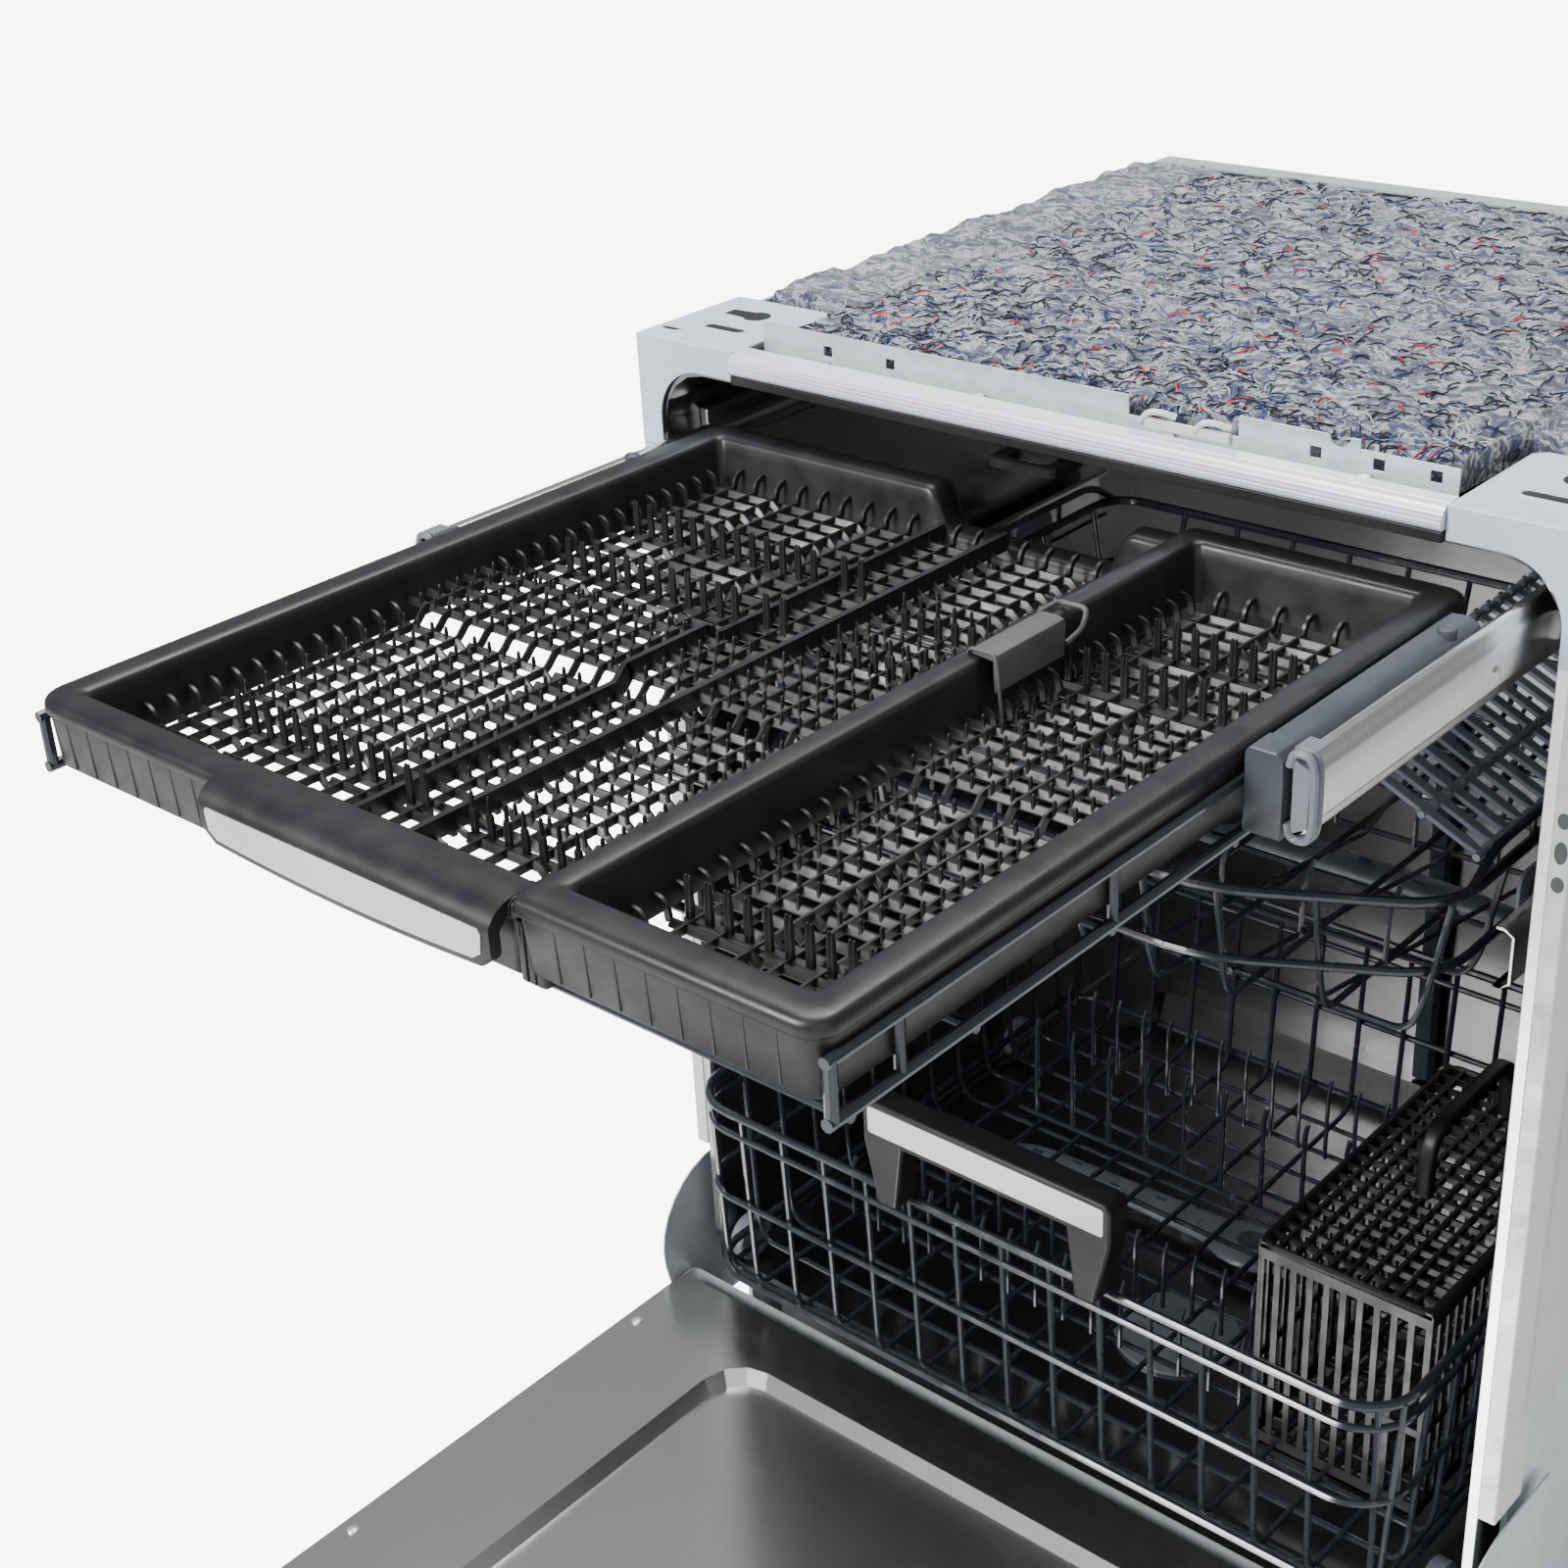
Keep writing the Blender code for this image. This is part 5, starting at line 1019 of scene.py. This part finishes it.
def upper_rack():
    top = UPPER_HIGH.z - WIRE_R
    half = UPPER_HIGH.x - WIRE_R
    y0, y1 = UPPER_LOW.y + WIRE_R - 0.006, UPPER_HIGH.y - WIRE_R
    floor_z = UPPER_LOW.z + 0.005
    bm = bmesh.new()
    rim = (-half, half, y0, y1, 0.058, 0.110)
    basket_wires(bm, rim, ((top, 0, WIRE_R * 1.35), (top - 0.044, 0.004, WIRE_R * 1.15)), floor_z, 9, 7, 0.020)
    for i in range(8):
        x = -half + 0.040 + (2 * half - 0.110) * i / 7
        route = [(x, y0 + 0.050, floor_z), (x + 0.034, (y0 + y1) / 2, floor_z + 0.002), (x, y1 - 0.040, floor_z)]
        sweep(bm, route, WIRE_R * 0.7, 6)
        for y in (0.060, 0.190, 0.320):
            route = [(x + 0.012, y, floor_z), (x + 0.012, y + 0.001, floor_z + 0.034), (x + 0.014, y + 0.008, floor_z + 0.046)]
            sweep(bm, fillet(route, 0.006, 4), WIRE_R * 0.7, 6)
    for sign in (-1, 1):
        route = [(sign * half, 0.030, top), (sign * half, 0.055, top + 0.016), (sign * half, y1 - 0.030, top + 0.016),
                 (sign * half, y1 - 0.004, top)]
        sweep(bm, fillet(route, 0.014, 5), WIRE_R * 1.1, 9)
        for y in (0.10, 0.16, 0.22, 0.28, 0.34):
            sweep(bm, [(sign * half, y, top), (sign * half, y, top + 0.016)], WIRE_R * 0.8, 7)
    finish_piece("upper_rack_wires", bm, WIRE, "upper_rack", "coated_wire", "upper_rack")
    for side, sign in (("left", -1), ("right", 1)):
        low, high = cad(f"upper_rack_rail_{side}")
        inner, outer = sorted((abs(low.x), abs(high.x)))
        z0, z1 = low.z, high.z
        outline = [(inner, z0), (inner + 0.004, z0), (inner + 0.004, z0 + 0.0015), (outer - 0.0015, z0 + 0.0040),
                   (outer - 0.0015, z1 - 0.0040), (inner + 0.004, z1 - 0.0015), (inner, z1 - 0.0015), (inner, z1),
                   (inner + 0.0048, z1), (outer, z1 - 0.0035), (outer, z0 + 0.0035), (inner + 0.0048, z0 - 0.0)]
        bm = bmesh.new()
        slab(bm, [(sign * x, z) for x, z in outline], "Y", low.y, high.y)
        finish_piece(f"upper_rail_{side}", bm, RAIL_STEEL, "upper_rails", "stainless_steel", f"upper_rack_rail_{side}",
                     bevel=0.0003)
        rollers = bmesh.new()
        for y in (0.075, 0.330):
            middle = (z0 + z1) / 2
            lathe(rollers, [(0.0115, -0.0040), (0.0125, -0.0030), (0.0125, 0.0030), (0.0115, 0.0040)],
                  (sign * (inner - 0.0065), y, middle), "X", 28)
            outline = round_box(y - 0.022, y + 0.022, middle - 0.0185, middle + 0.0185, 0.008)
            ends = sorted((sign * (inner - 0.0135), sign * (inner - 0.0112)))
            slab(rollers, outline, "X", *ends)
        finish_piece(f"upper_rollers_{side}", rollers, GREY, "upper_rack", "grey_plastic", bevel=0.0006)


def cup_shelf():
    """Slats between knobbed bars, leaning in from the rack's right side."""
    low, high = cad("cup_shelf")
    axis_x, axis_z = 0.2330, 0.6120
    tilt = math.radians(25)
    length, width = 0.345, 0.113
    start = 0.045

    def place(u, y, n):
        """u along the slats from the hinge, n off the shelf."""
        return (axis_x - u * math.cos(tilt) + n * math.sin(tilt), y, axis_z + u * math.sin(tilt) + n * math.cos(tilt))

    direction = 1 if high.z > axis_z + 0.02 else -1

    def at(u, y, n):
        x, y, z = place(u, y, n)
        return (x, y, axis_z + direction * (z - axis_z))

    bm = bmesh.new()
    count = 23
    for i in range(count):
        y = start + 0.006 + (length - 0.012) * i / (count - 1)
        loops = []
        for u in (0.004, 0.010, width - 0.008, width):
            wide = 0.0030 if u in (0.004, width) else 0.0042
            loops.append([at(u, y - wide, -0.0009), at(u, y + wide, -0.0009), at(u, y + wide * 0.8, 0.0011),
                          at(u, y - wide * 0.8, 0.0011)])
        loft(bm, loops)
    for u in (0.002, width * 0.33, width * 0.66, width - 0.004):
        sweep(bm, [at(u, start, 0.0), at(u, start + length, 0.0)], 0.0022, 8)
        for i in range(count - 1):
            y = start + 0.006 + (length - 0.012) * (i + 0.5) / (count - 1)
            lathe(bm, [(0.0022, -0.0030), (0.0032, -0.0012), (0.0032, 0.0012), (0.0022, 0.0030)], at(u, y, 0.0004), "Y", 10)
    finish_piece("cup_shelf_slats", bm, SLATE, "cup_shelf", "grey_plastic", "cup_shelf")


def lower_rack():
    top = LOWER_HIGH.z - WIRE_R
    half = LOWER_HIGH.x - WIRE_R
    y0, y1 = LOWER_LOW.y + WIRE_R, LOWER_HIGH.y - WIRE_R
    floor_z = LOWER_LOW.z + 0.006
    bm = bmesh.new()
    rim = (-half, half, y0, y1, 0.020, 0.020)
    levels = ((top, 0, WIRE_R * 1.3), (top - 0.016, 0.0005, WIRE_R), (top - 0.070, 0.001, WIRE_R),
              (floor_z + 0.008, 0.003, WIRE_R * 1.2))
    basket_wires(bm, rim, levels, floor_z, 15, 13, 0.012)
    for y in (0.060, 0.110, 0.320):
        for i in range(16):
            x = -half + 0.045 + (0.335) * i / 15
            if y < 0.30 and x > 0.108:
                continue
            tall = 0.055 if y > 0.2 else 0.042
            route = [(x, y, floor_z - 0.001), (x, y, floor_z + tall), (x, y + 0.004, floor_z + tall + 0.008)]
            sweep(bm, fillet(route, 0.004, 3), WIRE_R * 0.72, 7)
    finish_piece("lower_rack_wires", bm, WIRE, "lower_rack", "coated_wire", "lower_rack")
    low, high = cad("lower_tines")
    bm = bmesh.new()
    y = (low.y + high.y) / 2
    base = low.z + 0.002
    sweep(bm, [(low.x, y, base), (high.x, y, base)], WIRE_R * 0.9, 8)
    for i in range(9):
        x = high.x - (high.x - low.x) * (i + 0.5) / 9
        route = [(x, y, base), (x, y, high.z - 0.012), (x + 0.001, y + 0.001, high.z - 0.001)]
        sweep(bm, route, WIRE_R * 0.8, 8)
    finish_piece("folding_tines", bm, WIRE, "lower_tines", "coated_wire", "lower_tines")


def lower_handle():
    low, high = cad("lower_handle")
    x0, x1, front, back = low.x, high.x, low.y, high.y
    bar = 0.0295
    bm = bmesh.new()
    outline = [(x0, high.z - 0.006), (x0 + 0.002, high.z - 0.0015), (x0 + 0.006, high.z)]
    outline += [(x1 - 0.006, high.z), (x1 - 0.002, high.z - 0.0015), (x1, high.z - 0.006)]
    outline += [(x1, high.z - bar), (x1 - 0.010, low.z), (x1 - 0.024, low.z), (x1 - 0.030, high.z - bar + 0.003)]
    outline += [(x0 + 0.030, high.z - bar + 0.003), (x0 + 0.024, low.z), (x0 + 0.010, low.z), (x0, high.z - bar)]
    slab(bm, outline, "Y", front, back)
    finish_piece("lower_handle_bow", bm, BLACK, "lower_rack", "black_plastic", "lower_handle", bevel=0.0022, segments=3)
    steel = bmesh.new()
    plate = round_box(x0 + 0.0042, x1 - 0.0042, high.z - bar + 0.0075, high.z - 0.0035, 0.002)
    slab(steel, plate, "Y", front - 0.0004, front + 0.0010)
    finish_piece("lower_handle_steel", steel, SATIN, "lower_rack", "satin_steel", "lower_handle_plate", bevel=0.0003)


def basket():
    """The cutlery basket: slotted walls, a gridded lid and an arched handle."""
    low, high = cad("cutlery_basket")
    x0, x1, y0, y1 = low.x, high.x, low.y, high.y
    top, base = high.z, low.z
    bm = bmesh.new()
    thick = 0.0018
    for z0, z1 in ((base, base + 0.010), (base + 0.060, base + 0.065), (top - 0.010, top)):
        block(bm, (x0, y0, z0), (x1, y0 + thick, z1))
        block(bm, (x0, y1 - thick, z0), (x1, y1, z1))
        block(bm, (x0, y0 + thick, z0), (x0 + thick, y1 - thick, z1))
        block(bm, (x1 - thick, y0 + thick, z0), (x1, y1 - thick, z1))
    for i in range(23):
        y = y0 + (y1 - y0 - 0.004) * i / 22
        block(bm, (x0 + 0.0002, y, base + 0.009), (x0 + thick - 0.0002, y + 0.004, top - 0.009))
        block(bm, (x1 - thick + 0.0002, y, base + 0.009), (x1 - 0.0002, y + 0.004, top - 0.009))
    for i in range(11):
        x = x0 + (x1 - x0 - 0.004) * i / 10
        block(bm, (x, y0 + 0.0002, base + 0.009), (x + 0.004, y0 + thick - 0.0002, top - 0.009))
        block(bm, (x, y1 - thick + 0.0002, base + 0.009), (x + 0.004, y1 - 0.0002, top - 0.009))
        block(bm, (x, y0 + 0.001, base + 0.0004), (x + 0.0026, y1 - 0.001, base + 0.0024))
        block(bm, (x, y0 + 0.001, top - 0.0030), (x + 0.0022, y1 - 0.001, top + 0.0020))
    for i in range(20):
        y = y0 + (y1 - y0 - 0.003) * i / 19
        block(bm, (x0 + 0.001, y, base + 0.0002), (x1 - 0.001, y + 0.0024, base + 0.0020))
        block(bm, (x0 + 0.001, y, top - 0.0026), (x1 - 0.001, y + 0.0020, top + 0.0016))
    sweep(bm, [(x, y, top) for x, y in round_box(x0 + 0.001, x1 - 0.001, y0 + 0.001, y1 - 0.001, 0.009)], 0.0026, 8,
          closed=True)
    finish_piece("basket_walls", bm, BLACK, "lower_rack", "black_plastic", "cutlery_basket")
    low, high = cad("basket_handle")
    middle = (low.x + high.x) / 2
    arch = bmesh.new()
    y0, y1, z0, z1 = low.y + 0.0055, high.y - 0.0055, low.z, high.z - 0.0040
    loops = []
    route = fillet([(middle, y0, z0), (middle, y0, z1), (middle, y1, z1), (middle, y1, z0)], 0.024, 8)
    for point, tangent in zip(route, tangents(route)):
        normal = tangent.cross(Vector((1, 0, 0)))
        section = round_box(-0.0052, 0.0052, -0.0036, 0.0036, 0.0024, 3)
        loops.append([point + Vector((s, 0, 0)) + normal * t for s, t in section])
    loft(arch, loops)
    finish_piece("basket_arch", arch, BLACK, "basket_handle", "black_plastic", "basket_handle")


def wheels():
    for depth in ("front", "rear"):
        for side, sign in (("left", -1), ("right", 1)):
            name = f"wheel_{depth}_{side}"
            low, high = cad(name)
            centre = (low + high) / 2
            radius, half = (high.z - low.z) / 2, (high.x - low.x) / 2
            bm = bmesh.new()
            profile = [(0.0030, -half * 0.55), (radius * 0.55, -half * 0.55), (radius * 0.62, -half), (radius - 0.0012, -half),
                       (radius, -half + 0.0012), (radius, half - 0.0012), (radius - 0.0012, half), (radius * 0.62, half),
                       (radius * 0.55, half * 0.55), (0.0030, half * 0.55)]
            lathe(bm, profile, centre, "X", 36)
            for k in range(6):
                angle = math.pi * k / 3
                a = centre + Vector((0, math.cos(angle), math.sin(angle))) * 0.0035
                b = centre + Vector((0, math.cos(angle), math.sin(angle))) * (radius * 0.60)
                sweep(bm, [a, b], half * 0.62, 6)
            finish_piece(f"{name}_moulding", bm, GREY, name, "grey_plastic", name)


# ---------------------------------------------------------------- door, arms and dispenser


def spray_arm(name):
    """A hollow-looking arm: a crowned blade each way from a hub, with nozzle slots on top."""
    low, high = cad(name)
    centre = (low + high) / 2
    tip, half, thick = (high.x - low.x) / 2, (high.y - low.y) / 2, high.z - low.z
    bm = bmesh.new()
    loops = []
    steps = 28
    for i in range(steps + 1):
        u = -1 + 2 * i / steps
        x = centre.x + tip * u
        end = math.sqrt(max(0.02, 1 - abs(u) ** 14))
        wide = (half * (0.36 + 0.28 * (1 - abs(u))) + (half * 0.36) * max(0.0, 1 - (u / 0.14) ** 2) ** 0.5
                if abs(u) < 0.14 else half * (0.36 + 0.28 * (1 - abs(u)))) * end
        deep = thick / 2 * (0.72 + 0.28 * max(0.0, 1 - abs(u) * 1.5)) * end
        section = [(wide * c, deep * s) for c, s in ((math.cos(a), math.copysign(abs(math.sin(a)) ** 0.8, math.sin(a)))
                                                      for a in (2 * math.pi * k / 16 for k in range(16)))]
        loops.append([(x, centre.y + y, centre.z + z) for y, z in section])
    loft(bm, loops)
    finish_piece(f"{name}_blade", bm, GREY, name, "grey_plastic", name, angle=60)
    # Dark patches for the nozzle slots: painted shade standing in for the openings. The hub disc in the same piece is a
    # real part.
    marks = bmesh.new()
    for index, u in enumerate((-0.90, -0.74, -0.56, -0.38, 0.30, 0.47, 0.66, 0.84)):
        deep = thick / 2 * (0.72 + 0.28 * max(0.0, 1 - abs(u) * 1.5))
        y = centre.y + (0.003 if index % 2 else -0.003)
        outline = round_box(centre.x + tip * u - 0.0045, centre.x + tip * u + 0.0045, y - 0.0014, y + 0.0014, 0.0013, 3)
        slab(marks, outline, "Z", centre.z + deep * 0.80, centre.z + deep * 1.0 + 0.0003)
    lathe(marks, [(0.0105, 0.0), (0.0105, 0.0012), (0.0070, 0.0016), (0.0030, 0.0016)],
          (centre.x, centre.y, high.z - 0.0010), steps=28)
    finish_piece(f"{name}_nozzles", marks, DARK, name, "grey_plastic")


def dispenser_parts():
    low, high = cad("dispenser_lid")
    bm = bmesh.new()
    slab(bm, round_box(low.x, high.x, low.y, high.y, 0.008, 5), "Z", low.z, high.z - 0.0008)
    slab(bm, round_box(low.x + 0.006, high.x - 0.018, low.y + 0.006, high.y - 0.006, 0.006, 5), "Z", high.z - 0.0009, high.z)
    for i in range(4):
        x = high.x - 0.014 + 0.003 * i
        block(bm, (x, low.y + 0.025, high.z - 0.0009), (x + 0.0014, high.y - 0.025, high.z))
    finish_piece("dispenser_lid_moulding", bm, GREY, "dispenser_lid", "grey_plastic", "dispenser_lid", bevel=0.0006)
    low, high = cad("rinse_aid_cap")
    centre = ((low.x + high.x) / 2, (low.y + high.y) / 2, low.z)
    radius, tall = (high.x - low.x) / 2, high.z - low.z
    cap = bmesh.new()
    lathe(cap, [(radius, 0.0), (radius, tall * 0.5), (radius - 0.0015, tall * 0.72), (radius * 0.6, tall * 0.78),
                (0.0020, tall * 0.74)], centre, steps=48)
    x, y, z = centre
    block(cap, (x - radius * 0.8, y - 0.0022, z + tall * 0.5), (x + radius * 0.8, y + 0.0022, z + tall))
    finish_piece("rinse_cap_moulding", cap, WHITE, "rinse_aid_cap", "pale_plastic", "rinse_aid_cap", bevel=0.0004)


def fascia():
    """The control strip: rounded edges, a dark display window and a row of touch fields."""
    low, high = cad("control_fascia")
    bm = bmesh.new()
    for y, x in ((low.y - 0.00025, 0.0),):
        middle = (low.z + high.z) / 2
        slab(bm, round_box(x - 0.075, x + 0.075, middle - 0.011, middle + 0.011, 0.003), "Y", y, y + 0.0006)
        for i in range(5):
            left = 0.095 + i * 0.024
            slab(bm, round_box(left, left + 0.015, middle - 0.006, middle + 0.006, 0.002), "Y", y, y + 0.0006)
            slab(bm, round_box(-left - 0.015, -left, middle - 0.006, middle + 0.006, 0.002), "Y", y, y + 0.0006)
    finish_piece("fascia_display", bm, DEEP, "door", "black_plastic")
    for name in ("power_button", "start_button"):
        low, high = cad(name)
        key = bmesh.new()
        slab(key, round_box(low.x, high.x, low.z, high.z, 0.004, 5), "Y", low.y, high.y)
        finish_piece(f"{name}_key", key, GREY, name, "grey_plastic", name, bevel=0.0006)


def drawer_corner_block():
    """The block between the handle and the narrow tray, under the rims."""
    handle_low, handle_high = cad("drawer_handle")
    bm = bmesh.new()
    x0 = handle_high.x + 0.0006
    outline = round_box(x0, x0 + 0.0145, -0.4625, -0.4560, 0.0020)
    slab(bm, outline, "Z", RIM_Z - 0.0350, RIM_Z - 0.0085)
    for x in (x0 + 0.0040, x0 + 0.0085):
        block(bm, (x, -0.4633, RIM_Z - 0.0345), (x + 0.0010, -0.4620, RIM_Z - 0.0090))
    finish_piece("drawer_corner_block", bm, DEEP, "drawer", "black_plastic", bevel=0.0005)


def liner_details():
    """The screws of the door's liner."""
    low, high = cad("door_liner")
    bm = bmesh.new()
    for x in (low.x + 0.012, high.x - 0.012):
        for y in (low.y + 0.030, (low.y + high.y) / 2, high.y - 0.060):
            lathe(bm, [(0.0040, -0.0004), (0.0040, 0.0006), (0.0028, 0.0016), (0.0010, 0.0018)], (x, y, high.z), steps=18)
    finish_piece("liner_screws", bm, SATIN, "door", "stainless_steel")


# ---------------------------------------------------------------- stage


def stage():
    bm = bmesh.new()
    loft(bm, [[(-30, -30, z), (30, -30, z), (30, 30, z), (-30, 30, z)] for z in (-0.02, 0.0)])
    mesh = bpy.data.meshes.new("floor")
    bmesh.ops.recalc_face_normals(bm, faces=bm.faces)
    bm.to_mesh(mesh)
    bm.free()
    floor = bpy.data.objects.new("floor", mesh)
    bpy.context.scene.collection.objects.link(floor)
    pale = surface("pale_floor", (0.86, 0.86, 0.86), 0.7, grain=40, depth=0.0001, mottle=0.01)
    nodes, links = pale.node_tree.nodes, pale.node_tree.links
    glow = nodes.new("ShaderNodeEmission")
    glow.inputs["Strength"].default_value = 9.0
    path = nodes.new("ShaderNodeLightPath")
    share = nodes.new("ShaderNodeMath")
    share.operation = "MULTIPLY"
    share.inputs[1].default_value = 0.9
    mix = nodes.new("ShaderNodeMixShader")
    links.new(path.outputs["Is Camera Ray"], share.inputs[0])
    links.new(share.outputs[0], mix.inputs["Fac"])
    links.new(nodes["Principled BSDF"].outputs["BSDF"], mix.inputs[1])
    links.new(glow.outputs["Emission"], mix.inputs[2])
    links.new(mix.outputs["Shader"], nodes["Material Output"].inputs["Surface"])
    mesh.materials.append(pale)
    world = bpy.data.worlds.new("studio")
    bpy.context.scene.world = world
    world.use_nodes = True
    nodes, links = world.node_tree.nodes, world.node_tree.links
    ambient = nodes["Background"]
    ambient.inputs["Color"].default_value = (0.93, 0.96, 1.0, 1)
    ambient.inputs["Strength"].default_value = 0.34
    backdrop = nodes.new("ShaderNodeBackground")
    backdrop.inputs["Color"].default_value = (1.0, 1.0, 1.0, 1)
    backdrop.inputs["Strength"].default_value = 12.0
    path = nodes.new("ShaderNodeLightPath")
    mix = nodes.new("ShaderNodeMixShader")
    links.new(path.outputs["Is Camera Ray"], mix.inputs["Fac"])
    links.new(ambient.outputs["Background"], mix.inputs[1])
    links.new(backdrop.outputs["Background"], mix.inputs[2])
    links.new(mix.outputs["Shader"], nodes["World Output"].inputs["Surface"])
    for name, place, target, size, power in LIGHTS:
        light = bpy.data.lights.new(name, "AREA")
        light.size = size
        light.energy = power
        lamp = bpy.data.objects.new(name, light)
        bpy.context.scene.collection.objects.link(lamp)
        lamp.location = place
        lamp.rotation_euler = (Vector(target) - Vector(place)).to_track_quat("-Z", "Y").to_euler()


LIGHTS = (
    ("key", (-0.7, -2.3, 2.0), (0.0, -0.2, 0.75), 1.0, 110),
    ("overhead", (-0.3, 0.5, 2.9), (0.0, -0.1, 0.7), 1.5, 75),
    ("side_fill", (2.4, -1.6, 1.3), (0.1, 0.0, 0.6), 1.6, 12),
)


def camera():
    """The camera's place, turn and lens, from edges of the cabinet and the drawer that are level or upright."""
    azimuth, elevation, roll = 0.743679, 0.467739, 0.053194
    forward = Vector((-math.sin(azimuth) * math.cos(elevation), math.cos(azimuth) * math.cos(elevation),
                      -math.sin(elevation)))
    right = Vector((math.cos(azimuth), math.sin(azimuth), 0))
    down = forward.cross(right)
    turned_right = right * math.cos(roll) + down * math.sin(roll)
    turned_down = down * math.cos(roll) - right * math.sin(roll)
    data = bpy.data.cameras.new("camera")
    data.sensor_width = 36
    data.lens = 55.12
    data.clip_start = 0.05
    obj = bpy.data.objects.new("camera", data)
    bpy.context.scene.collection.objects.link(obj)
    turn = Matrix((turned_right, -turned_down, -forward)).transposed().to_4x4()
    obj.matrix_world = Matrix.Translation((0.693214, -0.97186 + FRONT, 1.211703)) @ turn
    bpy.context.scene.camera = obj


# ---------------------------------------------------------------- everything

camera()
for make in (main_tray, right_tray, tray_grip, drawer_handle, cradle):
    make()
for side_name, side_sign in (("left", -1), ("right", 1)):
    for make in (drawer_bracket, drawer_rail, corner_bracket, upright):
        make(side_name, side_sign)
for make in (trim_bead, cross_rail, felt_mat, latch_and_screws, upper_rack, cup_shelf, lower_rack, lower_handle, basket,
             wheels, dispenser_parts, fascia, drawer_corner_block, liner_details):
    make()
for arm in ("upper_spray_arm", "lower_spray_arm"):
    spray_arm(arm)
stage()
